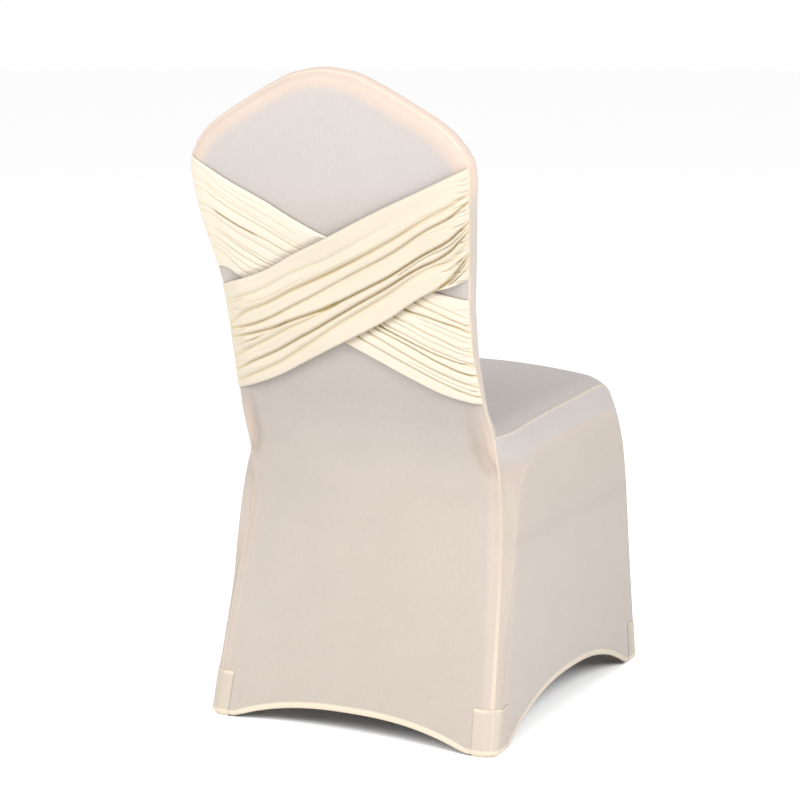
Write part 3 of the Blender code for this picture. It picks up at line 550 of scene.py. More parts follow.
def sewn_panel(node, sheet_name, grid, outward, from_seam, from_hem, hem_row, masks):
    """A panel as a closed sheet with its seams and hem, in place of its plain solid."""
    normals = grid_normals(grid, outward)
    relief = seam_relief(from_seam) + hem_relief(from_hem, along_rows(grid))
    thickness = np.where(from_hem < HEM_HEIGHT, HEM_CLOTH, CLOTH)
    outer, inner = two_skins(grid, normals, thickness, relief, hem_row)
    piece = cloth_object(sheet_name, outer, inner, masks)
    finish_piece(piece, node, PANEL_KNIT)
    cut[node] = grid, normals


# Peach strips where the knit passes over the rim of the back, its waist and the rear legs
RIM_PEACH_LOW, RIM_PEACH_BLEND = 0.76, 0.05
RIM_PEACH_WIDTH, RIM_PEACH_FADE = 0.013, 0.018
LEG_PEACH_WIDTH, LEG_PEACH_FADE = 0.008, 0.012
LEG_PEACH_TOP, LEG_PEACH_SHARE = 0.47, 0.4
WAIST_PEACH_WIDTH, WAIST_PEACH_FADE = 0.016, 0.014
WAIST_PEACH_HEIGHT, WAIST_PEACH_REACH = 0.43, 0.05

# Cooler tint at the top and below the bands, darker just below the bands, and painted shade in and beside the
# waist's hollow
COOL_TOP, COOL_BLEND = 0.66, 0.16
COOL_WAIST, COOL_WAIST_TOP, COOL_WAIST_REACH = 0.485, 0.585, 0.065
COOL_WAIST_SHADE, COOL_WAIST_SHARE = 0.09, 0.5
HOLLOW_SHADE, HOLLOW_SHADE_PEACH, HOLLOW_SHADE_OUT = 0.22, 0.5, 0.007

back = rounded_foot(back_grid())
from_seam = from_outline(back[:, :, 0], back[:, :, 2])
from_hem = along_columns(back)
height = back[:, :, 2]
rim_peach = (smoothstep((height - RIM_PEACH_LOW) / RIM_PEACH_BLEND)
             * (1 - smoothstep((from_seam - RIM_PEACH_WIDTH) / RIM_PEACH_FADE)))
leg_peach = ((1 - smoothstep((height - LEG_PEACH_TOP) / COOL_WAIST_REACH)) * LEG_PEACH_SHARE
             * (1 - smoothstep((from_seam - LEG_PEACH_WIDTH) / LEG_PEACH_FADE)))
waist_peach = (np.exp(-((height - WAIST_PEACH_HEIGHT) / WAIST_PEACH_REACH) ** 2)
               * (1 - smoothstep((from_seam - WAIST_PEACH_WIDTH) / WAIST_PEACH_FADE)))
# Painted shade, in peach and darker colour, in and beside the waist's hollow
painted_hollow_shade = waist_hollow(height, from_seam - HOLLOW_SHADE_OUT) / WAIST_HOLLOW["depth"].max()
below_bands = np.exp(-(np.maximum(COOL_WAIST - height, 0) / COOL_WAIST_REACH) ** 2)
masks = {
    "double": double_mask(from_seam, from_hem, height),
    "peach": np.maximum.reduce([rim_peach, leg_peach, waist_peach, HOLLOW_SHADE_PEACH * painted_hollow_shade]),
    "cool": np.maximum(smoothstep((height - COOL_TOP) / COOL_BLEND),
                       COOL_WAIST_SHARE * below_bands),
    "shade": (COOL_WAIST_SHADE * below_bands * (height < COOL_WAIST_TOP)
              + HOLLOW_SHADE * painted_hollow_shade),
}
sewn_panel("back_panel", "back_sheet", back, (0, 1, 0), from_seam, from_hem, 0, masks)

# Front panel
# One long sheet of the same knit. It starts at the crown seam, wraps forward over the rim
# of the back, runs down the inside back, over the seat and down to the front hem.
RIM_RADIUS = 0.018        # rounding at the sides and over the crown
RIM_FORWARD = 0.014       # depth of that rounding, towards the seat
RIM_RINGS = 3 * FINER     # grid steps over that rounding
RIM_FULL = table(         # share of the rounding left where the cloth is drawn to the waist
    "height share",
    (0.43, 0.08),
    (0.47, 0.25),
    (0.52, 0.52),
    (0.60, 0.80),
    (0.75, 1.00),
    (0.96, 1.00),
)
SEAM_ANGLE = math.radians(45)
PADDING = 0.012           # crown of the inside back
PADDING_ROWS = 4 * FINER  # over which it grows in below the rim
SEAT_JOIN_CROWN = 0.016   # rise of the line where the inside back meets the seat
SEAT_RIM = 0.010          # seat cloth above its side seam, past the rim
SEAT_RIM_WIDTH = 0.03
FRONT_RIM = 0.005         # the same on the front, which bows out between its top and its hem
FRONT_TOP_CROWN = 0.010
FRONT_HEM_CROWN = 0.005
FRONT_BOW = 0.0024
FRONT_EDGE_ROWS, FRONT_EDGE_BLEND = 4 * FINER, 6 * FINER
FRONT_HEM_ARCH = 0.034
SEAT_DEPTHS = (0.135, 0.112, 0.098, 0.064, 0.022, -0.026, -0.072, -0.118, -0.164, -0.204,
               -0.234, -0.247, -0.256, -0.262)

# Seam along the seat's side, from the junction to the front corner
SEAT_SEAM = table(
    "depth half_width height crown",
    (-0.262, 0.2030, 0.4440, 0.010),
    (-0.243, 0.2030, 0.4555, 0.014),
    (-0.2216, 0.2030, 0.4594, 0.018),
    (-0.120, 0.2030, 0.4544, 0.018),
    (-0.024, 0.2030, 0.4497, 0.017),
    (0.050, 0.2030, 0.4452, 0.015),
    (0.110, 0.2030, 0.4400, 0.012),
    (0.128, 0.2028, 0.4398, 0.010),
    (0.1695, 0.2008, 0.4400, 0.006),
)

# Seam down the front corner of the skirt
FRONT_SEAM = table(
    "height half_width depth",
    (0.000, 0.2215, -0.3255),
    (0.100, 0.2160, -0.3135),
    (0.200, 0.2110, -0.3015),
    (0.270, 0.2090, -0.2945),
    (0.360, 0.2060, -0.2870),
    (0.400, 0.2050, -0.2815),
    (0.425, 0.2040, -0.2740),
    (0.444, 0.2030, -0.2620),
)


def seat_seam(y, side):
    return places(side * curve(SEAT_SEAM, "depth", "half_width", y), y,
                  curve(SEAT_SEAM, "depth", "height", y))


def front_seam(z, side):
    return places(side * curve(FRONT_SEAM, "height", "half_width", z),
                  curve(FRONT_SEAM, "height", "depth", z), z)


def front_height(z):
    """Height on the front corner's seam of a grid row that is at z on the rear seam."""
    return z + (FRONT_SEAM["height"][-1] - JUNCTION) * (z / JUNCTION) ** 4


SEAT_PLACES = finer([float(seam_depth(JUNCTION))] + list(SEAT_DEPTHS))
INSIDE_HEIGHTS = SIDE_HEIGHTS[LOWER_ROWS - 1:][::-1]
FRONT_HEIGHTS = front_height(SIDE_HEIGHTS[:LOWER_ROWS])[::-1]


def rim_point(ring, outline, out):
    """Point on the rounding over the rim of the back, ring by ring from the seam inwards."""
    angle = -SEAM_ANGLE + (math.pi / 2 + SEAM_ANGLE) * ring / RIM_RINGS
    full = curve(RIM_FULL, "height", "share", outline[2])
    sideways = full * RIM_RADIUS * (math.cos(angle) - math.cos(SEAM_ANGLE))
    forward = full * RIM_FORWARD * (math.sin(angle) + math.sin(SEAM_ANGLE))
    return outline + sideways * out - np.array([0, forward, 0])


def front_grid():
    edges = {side: np.concatenate([rear_seam(INSIDE_HEIGHTS, side),
                                   seat_seam(SEAT_PLACES[1:], side),
                                   front_seam(FRONT_HEIGHTS[1:], side)]) for side in (-1, 1)}
    rows, columns = len(edges[1]), len(COLUMNS)
    inside_rows = len(INSIDE_HEIGHTS)
    first_front = inside_rows + len(SEAT_PLACES) - 1
    outline = np.concatenate([edges[-1][inside_rows - 1::-1], crown_seam(COLUMNS)[1:-1],
                              edges[1][:inside_rows]])
    along = np.gradient(outline, axis=0)
    out = unit(places(-along[:, 2], 0, along[:, 0]))
    grid = np.zeros((rows, columns, 3))
    us = share_of(COLUMNS)
    # Rounding over the rim, along the crown and both uprights
    for r in range(inside_rows):
        for c in range(columns):
            near = min(c, columns - 1 - c)
            ring = min(near, r, RIM_RINGS)
            if ring == RIM_RINGS and near > RIM_RINGS and r > RIM_RINGS:
                continue
            index = inside_rows - 1 + c
            if r > near:
                index = inside_rows - 1 - r if c == near else len(outline) - inside_rows + r
            elif r == near:
                index = inside_rows - 1 + (0 if c == near else columns - 1)
            grid[r, c] = rim_point(ring, outline[index], out[index])
    # Inside back, within that rounding
    inner = slice(RIM_RINGS, columns - RIM_RINGS)
    inner_us = share_of(COLUMNS[inner])
    depths = INSIDE_HEIGHTS[RIM_RINGS:]
    start, end = grid[inside_rows - 1, RIM_RINGS], grid[inside_rows - 1, columns - 1 - RIM_RINGS]
    foot = start * (1 - inner_us[:, None]) + end * inner_us[:, None]
    foot[:, 2] += SEAT_JOIN_CROWN * (1 - (2 * inner_us - 1) ** 2)
    left = grid[RIM_RINGS:inside_rows, RIM_RINGS].copy()
    right = grid[RIM_RINGS:inside_rows, columns - 1 - RIM_RINGS].copy()
    face = coons(grid[RIM_RINGS, inner], foot, left, right, inner_us, share_of(depths))
    fade = smoothstep(np.arange(len(depths)) / PADDING_ROWS)[:, None]
    padded = 1 - (2 * inner_us[None] - 1) ** 2
    face[:, :, 1] = (seam_depth(face[:, :, 2]) * fade + face[:, :, 1] * (1 - fade)
                     - RIM_FORWARD * (1 + math.sin(SEAM_ANGLE)) * fade - PADDING * fade * padded)
    face[:, 0], face[:, -1] = left, right
    grid[RIM_RINGS:inside_rows, inner] = face
    # Seat and front, row by row
    for r in range(inside_rows, rows):
        start, end = edges[-1][r], edges[1][r]
        onto_front = smoothstep((r - first_front + FRONT_EDGE_ROWS) / FRONT_EDGE_BLEND)
        lean = onto_front * math.pi / 2
        fall = np.clip((r - first_front) / (rows - 1 - first_front), 0, 1)
        crown = curve(SEAT_SEAM, "depth", "crown", start[1])
        if r >= first_front - FINER:
            crown = (FRONT_TOP_CROWN * (1 - fall) + FRONT_HEM_CROWN * fall
                     + FRONT_BOW * 4 * fall * (1 - fall))
        across = start * (1 - us[:, None]) + end * us[:, None]
        reach = np.minimum(across[:, 0] - start[0], end[0] - across[:, 0])
        rim = SEAT_RIM * (1 - onto_front) + FRONT_RIM * onto_front
        rise = rim * (1 - (1 - np.minimum(reach / SEAT_RIM_WIDTH, 1.0)) ** 2)
        rise += crown * (1 - (2 * us - 1) ** 2)
        grid[r] = across + rise[:, None] * np.array([0, -math.sin(lean), math.cos(lean)])
        if r >= first_front - FINER:
            lower = 1 - start[2] / FRONT_HEIGHTS[0]
            grid[r, :, 2] += hem_rise(2 * us - 1, FRONT_HEM_ARCH) * lower
        grid[r, 0], grid[r, -1] = start, end
    return grid


# Tints: the seat darker, partly for the dark pad showing through and partly as painted shade from the back, a
# darker inside back, the peach rim, and the cooler front
SEAT_SHADE, INSIDE_SHADE = 0.11, 0.08
SEAT_EDGE_ROWS = 4 * FINER            # grid rows over which the seat's tint ends at the front
FRONT_RIM_WIDTH, FRONT_RIM_FADE = 0.026, 0.014
FRONT_PEACH_LOW = 0.15    # share of the rim's peach that is left below the crown
FRONT_COOL = 0.4

front = rounded_foot(front_grid())
from_left, from_top = along_rows(front), along_columns(front)
from_seam = np.minimum(np.minimum(from_left, from_left[:, -1:] - from_left), from_top)
from_hem = from_top[-1:] - from_top
row = np.arange(len(front))[:, None]
first_seat, last_seat = len(INSIDE_HEIGHTS), len(INSIDE_HEIGHTS) + len(SEAT_PLACES) - 1
on_seat = (smoothstep((row - first_seat) / FINER)
           * (1 - smoothstep((row - last_seat + SEAT_EDGE_ROWS) / SEAT_EDGE_ROWS)))
on_rim = (1 - smoothstep((from_seam - FRONT_RIM_WIDTH) / FRONT_RIM_FADE)) * (row < first_seat)
rim_peach = on_rim * (FRONT_PEACH_LOW + (1 - FRONT_PEACH_LOW)
                      * smoothstep((front[:, :, 2] - RIM_PEACH_LOW) / RIM_PEACH_BLEND))
masks = {
    "double": double_mask(from_seam, from_hem, front[:, :, 2]),
    "peach": rim_peach,
    "cool": on_seat + FRONT_COOL * (1 - on_seat),
    "shade": SEAT_SHADE * on_seat + INSIDE_SHADE * (row < first_seat) * (1 - on_rim),
}
sewn_panel("front_panel", "front_sheet", front, (0, 0, 1), from_seam, from_hem, -1,
           masks)

# Side panels
# A sheet of the knit on each side of the skirt, sewn along the rear leg, along the seat's
# edge and down the front corner. It lies flat inside a strip that turns in to the seams.
SIDE_AT_FLOOR = 0.2320    # half width of the skirt's flat side at the floor
SIDE_TAPER = 0.025        # narrower by this much for each metre of height
SIDE_TAPER_TOP = 0.40
SIDE_HOLLOW = 0.003       # the flat side is drawn in by this much at its middle
SIDE_STRIP = 2 * FINER    # grid steps across the strip
STRIP_SHARE = 0.58        # place of the strip's middle ring between seam and crease
STRIP_CLOSER = 1.6        # above 1 the grid's rings lie closer at the seam
STRIP_BULGE = (0.0022, 0, 0.0006)     # of that middle ring
CORNER_REACH = 1.2 * FINER            # grid steps over which the creases' corner is evened
CORNER_PASSES = 14        # and how often
SIDE_HEM_ARCH = 0.0555

# Grid columns between the rear and the front crease, as shares of the way
SIDE_SHARES = (0, 0.037, 0.13, 0.25, 0.375, 0.50, 0.625, 0.75, 0.865, 0.95, 1)

# Edge of the flat area inside the side panel, on the side's own plane
REAR_CREASE = table(
    "height depth",
    (0.000, 0.2175),
    (0.065, 0.1995),
    (0.090, 0.1900),
    (0.190, 0.1630),
    (0.267, 0.1505),
    (0.320, 0.1390),
    (0.366, 0.1252),
    (0.3814, 0.1070),
)
TOP_CREASE = table(
    "depth height",
    (-0.2520, 0.4080),
    (-0.2293, 0.4190),
    (-0.1380, 0.4185),
    (-0.0592, 0.4170),
    (0.0128, 0.4142),
    (0.0676, 0.4090),
    (0.0924, 0.3975),
    (0.1070, 0.3814),
)
FRONT_CREASE = table(
    "height depth",
    (0.0000, -0.3215),
    (0.0686, -0.3124),
    (0.1330, -0.3044),
    (0.2000, -0.2965),
    (0.2700, -0.2887),
    (0.3293, -0.2808),
    (0.3690, -0.2727),
    (0.3895, -0.2644),
    (0.4080, -0.2520),
)


def side_x(z):
    """Half width of the skirt's flat side."""
    return SIDE_AT_FLOOR - SIDE_TAPER * np.minimum(z, SIDE_TAPER_TOP)


def strip_blend(ring):
    """Place between seam and crease of a ring of the strip, and how far it bulges."""
    t = (ring / SIDE_STRIP) ** STRIP_CLOSER
    place = STRIP_SHARE * 2 * t
    if t >= 0.5:
        place = STRIP_SHARE + (1 - STRIP_SHARE) * (2 * t - 1)
    return place, math.sin(math.pi * t)


def side_grid():
    lower = SIDE_HEIGHTS[:LOWER_ROWS]
    corner_heights = FRONT_HEIGHTS[::-1]
    rows, columns = len(lower), len(SEAT_PLACES)
    last_r, last_c = rows - 1, columns - 1
    rear_edge, front_edge = rear_seam(lower, 1), front_seam(corner_heights, 1)
    top_edge = seat_seam(SEAT_PLACES, 1)
    top_edge[0] = rear_edge[-1]
    crease_rows = rows - SIDE_STRIP

    def down_to(heights, crease):
        kept = heights[:crease_rows]
        return kept - (kept[-1] - crease["height"][-1]) * (kept / kept[-1]) ** 3

    def on_side(y, z):
        return places(side_x(z), y, z)

    # Flat part inside the creases
    us = finer(SIDE_SHARES)
    rear_z, front_z = down_to(lower, REAR_CREASE), down_to(corner_heights, FRONT_CREASE)
    crease_y = TOP_CREASE["depth"][-1] * (1 - us) + TOP_CREASE["depth"][0] * us
    rear = on_side(curve(REAR_CREASE, "height", "depth", rear_z), rear_z)
    front = on_side(curve(FRONT_CREASE, "height", "depth", front_z), front_z)
    top = on_side(crease_y, curve(TOP_CREASE, "depth", "height", crease_y))
    vs = share_of(rear_z)
    ends = rear_edge[0, 1], front_edge[0, 1]
    middle, half = (ends[0] + ends[1]) / 2, (ends[0] - ends[1]) / 2
    bottom = on_side(rear[0, 1] * (1 - us) + front[0, 1] * us, HEM_BASE)
    bottom[:, 2] += hem_rise((bottom[:, 1] - middle) / half, SIDE_HEM_ARCH)
    rear[:, 2] += hem_rise((rear[0, 1] - middle) / half, SIDE_HEM_ARCH) * (1 - vs)
    front[:, 2] += hem_rise((front[0, 1] - middle) / half, SIDE_HEM_ARCH) * (1 - vs)
    flat = coons(bottom, top, rear, front, us, vs)
    inset = np.sin(math.pi * us)[None] * np.sin(math.pi * vs)[:, None]
    flat[:, :, 0] = side_x(flat[:, :, 2]) - SIDE_HOLLOW * inset
    grid = np.zeros((rows, columns, 3))
    grid[:crease_rows, SIDE_STRIP:columns - SIDE_STRIP] = flat
    # Strip between the creases and the seams
    for r in range(rows):
        for c in range(columns):
            near, above = min(c, last_c - c), last_r - r
            ring = min(near, above)
            if ring >= SIDE_STRIP:
                continue
            beside = SIDE_STRIP if c == near else last_c - SIDE_STRIP
            if near <= above:
                edge = (rear_edge if c == near else front_edge)[r if near < above else last_r]
                crease = grid[min(r, crease_rows - 1), beside]
            else:
                edge = top_edge[c]
                crease = grid[crease_rows - 1, min(max(c, SIDE_STRIP), last_c - SIDE_STRIP)]
            place, bulge = strip_blend(ring)
            grid[r, c] = edge * (1 - place) + crease * place + bulge * np.array(STRIP_BULGE)
    # The creases' two upper corners, evened out
    row, column = np.arange(1, last_r)[:, None], np.arange(1, last_c)[None]
    apart = np.minimum(np.hypot(row - crease_rows + 1, column - SIDE_STRIP),
                       np.hypot(row - crease_rows + 1, column - last_c + SIDE_STRIP))
    share = np.exp(-(apart / CORNER_REACH) ** 2)[:, :, None]
    for _ in range(CORNER_PASSES):
        even = (grid[:-2, 1:-1] + grid[2:, 1:-1] + grid[1:-1, :-2] + grid[1:-1, 2:]) / 4
        grid[1:-1, 1:-1] += share * (even - grid[1:-1, 1:-1])
    return grid


# Tints: the strip, its inner edge, the padding above it, the rail that shows through, and painted shade
# towards the front
STRIP_PEACH, STRIP_SHADE = 0.30, 0.06
STRIP_EDGE_BLEND = 1.5    # in grid steps
CREASE_PEACH, CREASE_PEACH_WIDTH = 0.35, 0.014
STRIP_COOL_FROM, STRIP_COOL_BLEND, STRIP_COOL_SHADE = 0.385, 0.030, 0.03
SIDE_FRONT_SHADE, SIDE_FRONT_FROM, SIDE_FRONT_BLEND = 0.02, 0.1, 0.4
RAIL_HEIGHT, RAIL_WIDTH, RAIL_SHADE = 0.290, 0.010, 0.045
SIDE_HEM_SHARE = 0.65     # how much of the hem's cream shows on the sides
SIDE_COOL, SIDE_COOL_TOP, SIDE_COOL_BLEND = 0.35, 0.20, 0.16

for side, side_name in ((1, "left"), (-1, "right")):
    grid = rounded_foot(side_grid())
    from_rear, from_hem = along_rows(grid), along_columns(grid)
    from_front = from_rear[:, -1:] - from_rear
    from_top = from_hem[-1:] - from_hem
    from_seam = np.minimum(np.minimum(from_rear, from_front), from_top)
    column = np.arange(grid.shape[1])[None]
    ring = np.minimum(column, len(grid) - 1 - np.arange(len(grid))[:, None])
    on_strip = 1 - smoothstep((ring - SIDE_STRIP + 1) / STRIP_EDGE_BLEND)
    above_crease = smoothstep((grid[:, :, 2] - STRIP_COOL_FROM) / STRIP_COOL_BLEND)
    inside = np.minimum(from_rear - from_rear[:, SIDE_STRIP:SIDE_STRIP + 1],
                        from_top - from_top[-1 - SIDE_STRIP:][:1])
    glow = CREASE_PEACH * np.exp(-np.maximum(inside, 0) / CREASE_PEACH_WIDTH) * (1 - on_strip)
    # Painted shade, darker towards the front of the side
    forward = smoothstep((SIDE_FRONT_FROM - grid[:, :, 1]) / SIDE_FRONT_BLEND)
    rail = np.exp(-((grid[:, :, 2] - RAIL_HEIGHT) / RAIL_WIDTH) ** 2) * (1 - on_strip)
    low = SIDE_COOL * (1 - smoothstep((grid[:, :, 2] - SIDE_COOL_TOP) / SIDE_COOL_BLEND))
    masks = {
        "double": double_mask(from_seam, from_hem, grid[:, :, 2], SIDE_HEM_SHARE),
        "peach": STRIP_PEACH * on_strip * (1 - above_crease) * (column < grid.shape[1] / 2) + glow,
        "cool": above_crease * on_strip + low * (1 - on_strip),
        "shade": ((STRIP_COOL_SHADE * above_crease + STRIP_SHADE * (1 - above_crease)) * on_strip
                  + SIDE_FRONT_SHADE * forward + RAIL_SHADE * rail),
    }
    grid[:, :, 0] *= side
    sewn_panel("side_panel_" + side_name, "side_sheet_" + side_name, grid,
               (side, 0, 0), from_seam, from_hem, 0, masks)

# Foot pockets
# At each corner a pocket of doubled knit, which the end of a leg stands in. Its outer patch
# is sewn over the corner seam with the hem's stitching across its foot, and it closes
# under the leg with a floor and a low inner wall.
POCKET_ROWS = 5 * FINER
POCKET_COLUMNS = 3 * FINER
POCKET_INNER_ROWS = 3 * FINER
POCKET_CLOTH = 0.0007
PATCH_GAP = 0.00024       # between the outer patch and the panels under it
SCREEN_GAP = 0.00036      # between the panels' hems and the inner wall
PATCH_EDGE_SWELL, PATCH_EDGE_WIDTH = 0.0002, 0.0012    # the patch's folded top edge
CORNER_SWELL_COLUMNS = 2              # grid columns over which the corner seam swells the patch
SEAM_SHOWS, SEAM_SHOWS_WIDTH = 0.75, 0.0018      # the corner seam seen through the patch
SIDE_HALF_BLEND = 0.004   # between the pocket's halves at the back or front and at the side
SIDE_TOP_FADE = 0.7       # how much fainter the patch's cream top edge is on the side's half

# The pockets' knit, in its cool colour on the side panel's half
POCKET_KNIT = knit_finish("pocket_knit", sheer=(0.352, 0.308, 0.256), cool=(0.322, 0.283, 0.246),
                          peach=(0.370, 0.315, 0.270), double=(0.460, 0.395, 0.312),
                          fleck_depth=0.10)


def corner_of(panel, edge):
    """Lower corner part of a panel: row 0 at the hem and column 0 at the corner's seam."""
    found = []
    for part in cut[panel]:
        part = part[::-1] if panel == "front_panel" else part
        part = part if edge == 0 else part[:, ::-1]
        found.append(part[:POCKET_ROWS + 1, :POCKET_COLUMNS + 1])
    return found


def drawn_to(skin, low):
    """A skin's rows with its lowest one drawn down along the cloth to a height."""
    drop = (skin[0, :, 2] - low) / (skin[1, :, 2] - skin[0, :, 2])
    foot = skin[0] + (skin[0] - skin[1]) * drop[:, None]
    return np.concatenate([foot[None], skin[1:]])


def mark_pocket(mesh, corner_seam):
    """The pocket's coordinates over the cloth, and its masks from the corner seam's place."""
    layer = mesh.uv_layers.new(name="cloth")
    masks = {mask: mesh.attributes.new(mask, "FLOAT", "POINT")
             for mask in ("double", "cool", "peach", "shade")}
    seam_x, seam_y, seam_z = corner_seam.T
    for loop in mesh.loops:
        place = mesh.vertices[loop.vertex_index].co
        layer.data[loop.index].uv = place.x + place.y, place.z
        hem = 1 - smoothstep((place.z - HEM_HEIGHT) / HEM_EDGE_BLEND)
        top = smoothstep((place.z - seam_z[-1] + 2 * PATCH_EDGE_WIDTH) / PATCH_EDGE_WIDTH)
        along_x = abs(place.x - np.interp(place.z, seam_z, seam_x))
        along_y = abs(place.y + MIDDLE_DEPTH - np.interp(place.z, seam_z, seam_y))
        seam = SEAM_SHOWS * math.exp(-(math.hypot(along_x, along_y) / SEAM_SHOWS_WIDTH) ** 2)
        on_side = smoothstep((along_y - along_x) / SIDE_HALF_BLEND)
        top = top * (1 - SIDE_TOP_FADE * on_side)
        masks["double"].data[loop.vertex_index].value = max(hem, top, seam)
        masks["cool"].data[loop.vertex_index].value = on_side


def pocket_object(name, first, first_normals, second, second_normals):
    """Closed pocket: a patch around the corner seam, a floor and an inner wall with a knee."""
    corner = unit(first_normals[:, :1] + second_normals[:, :1])
    points = np.concatenate([first[:, :0:-1], first[:, :1], second[:, 1:]], axis=1)
    normals = np.concatenate([first_normals[:, :0:-1], corner, second_normals[:, 1:]], axis=1)
    from_foot = along_columns(points)
    from_edge = from_foot[-1:] - from_foot
    from_fold = (from_edge - PATCH_EDGE_WIDTH / 2) / PATCH_EDGE_WIDTH
    swell = PATCH_EDGE_SWELL * np.exp(-from_fold ** 2) + hem_relief(from_foot, along_rows(points))
    from_corner = np.arange(points.shape[1]) - POCKET_COLUMNS
    swell += SEAM_SWELL * np.exp(-(from_corner / CORNER_SWELL_COLUMNS) ** 2)[None]
    near = points + normals * PATCH_GAP
    far = points + normals * (PATCH_GAP + POCKET_CLOTH + swell)[:, :, None]
    ends = points[:, [0, -1]] - normals[:, [0, -1]] * (HEM_CLOTH + SCREEN_GAP)
    start, end = ends[:POCKET_INNER_ROWS + 1, 0], ends[:POCKET_INNER_ROWS + 1, 1]
    knee = places(start[:, 0], end[:, 1], (start[:, 2] + end[:, 2]) / 2)
    behind = np.stack([end, knee, start], axis=1)
    aside, away = -np.sign(start[0, 0]), -np.sign(normals[0, 0, 1])
    inward = np.array([[0, away, 0], [aside, away, 0], [aside, 0, 0]])
    corners, faces, walls = [], [], []

    def keep(grid):
        first_spot = len(corners)
        corners.extend(grid.reshape(-1, 3))
        return np.arange(first_spot, len(corners)).reshape(grid.shape[:2])

    for skins in ((near, far), (behind, behind + inward * POCKET_CLOTH)):
        sides = [keep(drawn_to(skin, POCKET_CLOTH)) for skin in skins]
        feet = [keep(drawn_to(skin, 0.0)[:1])[0] for skin in skins]
        one, other = sides
        faces += cells_of(one).tolist() + cells_of(other).tolist()
        for i in (0, -1):
            faces += [[one[r, i], other[r, i], other[r + 1, i], one[r + 1, i]]
                      for r in range(len(one) - 1)]
        faces += [[one[-1, i], one[-1, i + 1], other[-1, i + 1], other[-1, i]]
                  for i in range(one.shape[1] - 1)]
        walls.append((sides, feet))
    (patch, patch_feet), (screen, screen_feet) = walls
    faces.append(list(patch[0][0]) + list(screen[0][0]))

    def rim_of(patch_near, patch_far, screen_near, screen_far):
        return [*patch_far, patch_near[-1], screen_near[0], *screen_far, screen_near[-1],
                patch_near[0]]

    top_rim = rim_of(patch[0][0], patch[1][0], screen[0][0], screen[1][0])
    low_rim = rim_of(*patch_feet, *screen_feet)
    faces.append(low_rim)
    for i in range(len(low_rim)):
        j = (i + 1) % len(low_rim)
        faces.append([low_rim[i], low_rim[j], top_rim[j], top_rim[i]])
    corners = np.array(corners)
    corners[:, 1] -= MIDDLE_DEPTH
    shape = bmesh.new()
    spots = [shape.verts.new(corner) for corner in corners]
    for face in faces:
        shape.faces.new([spots[int(i)] for i in face])
    for spot in [spot for spot in spots if not spot.link_faces]:
        shape.verts.remove(spot)
    bmesh.ops.recalc_face_normals(shape, faces=shape.faces)
    if shape.calc_volume(signed=True) < 0:
        bmesh.ops.reverse_faces(shape, faces=shape.faces)
    mesh = bpy.data.meshes.new(name)
    shape.to_mesh(mesh)
    shape.free()
    mark_pocket(mesh, points[:, POCKET_COLUMNS])
    return linked(name, mesh)


for corner_name, first, first_edge, second, second_edge in (
        ("rear_left", "back_panel", -1, "side_panel_left", 0),
        ("rear_right", "back_panel", 0, "side_panel_right", 0),
        ("front_left", "front_panel", -1, "side_panel_left", -1),
        ("front_right", "front_panel", 0, "side_panel_right", -1)):
    piece = pocket_object("pocket_sheet_" + corner_name, *corner_of(first, first_edge),
                          *corner_of(second, second_edge))
    finish_piece(piece, "foot_pocket_" + corner_name, POCKET_KNIT)

# Crossed bands
# Two wide bands of the knit in cream, gathered at their ends and sewn into the seams at
# both sides of the back. Each runs over it in long soft folds, and they cross between the
# crown and the seat, with the one from the lower left to the upper right on top.
BAND_CLOTH = 0.0011
BAND_LIFT = 0.0006        # a band's underside above the back panel
BAND_END = 0.994          # where a band ends, with the seam at 1

# Heights of the bands' edges across the back, from its right seam (-1) to its left seam (1)
OVER_BAND = table(
    "across upper lower",
    (-1.00, 0.8215, 0.6720),
    (-0.90, 0.8110, 0.6600),
    (-0.76, 0.7960, 0.6525),
    (-0.38, 0.7590, 0.6090),
    (0.03, 0.7210, 0.5690),
    (0.31, 0.6970, 0.5410),
    (0.60, 0.6690, 0.5130),
    (0.93, 0.6480, 0.4915),
    (1.00, 0.6430, 0.4880),
)
UNDER_BAND = table(
    "across upper lower",
    (-1.00, 0.6405, 0.4925),
    (-0.77, 0.6513, 0.5020),
    (-0.50, 0.6750, 0.5245),
    (-0.28, 0.6940, 0.5460),
    (0.03, 0.7220, 0.5755),
    (0.26, 0.7440, 0.5980),
    (0.48, 0.7695, 0.6210),
    (0.71, 0.7935, 0.6430),
    (0.96, 0.8245, 0.6710),
    (1.00, 0.8290, 0.6680),
)

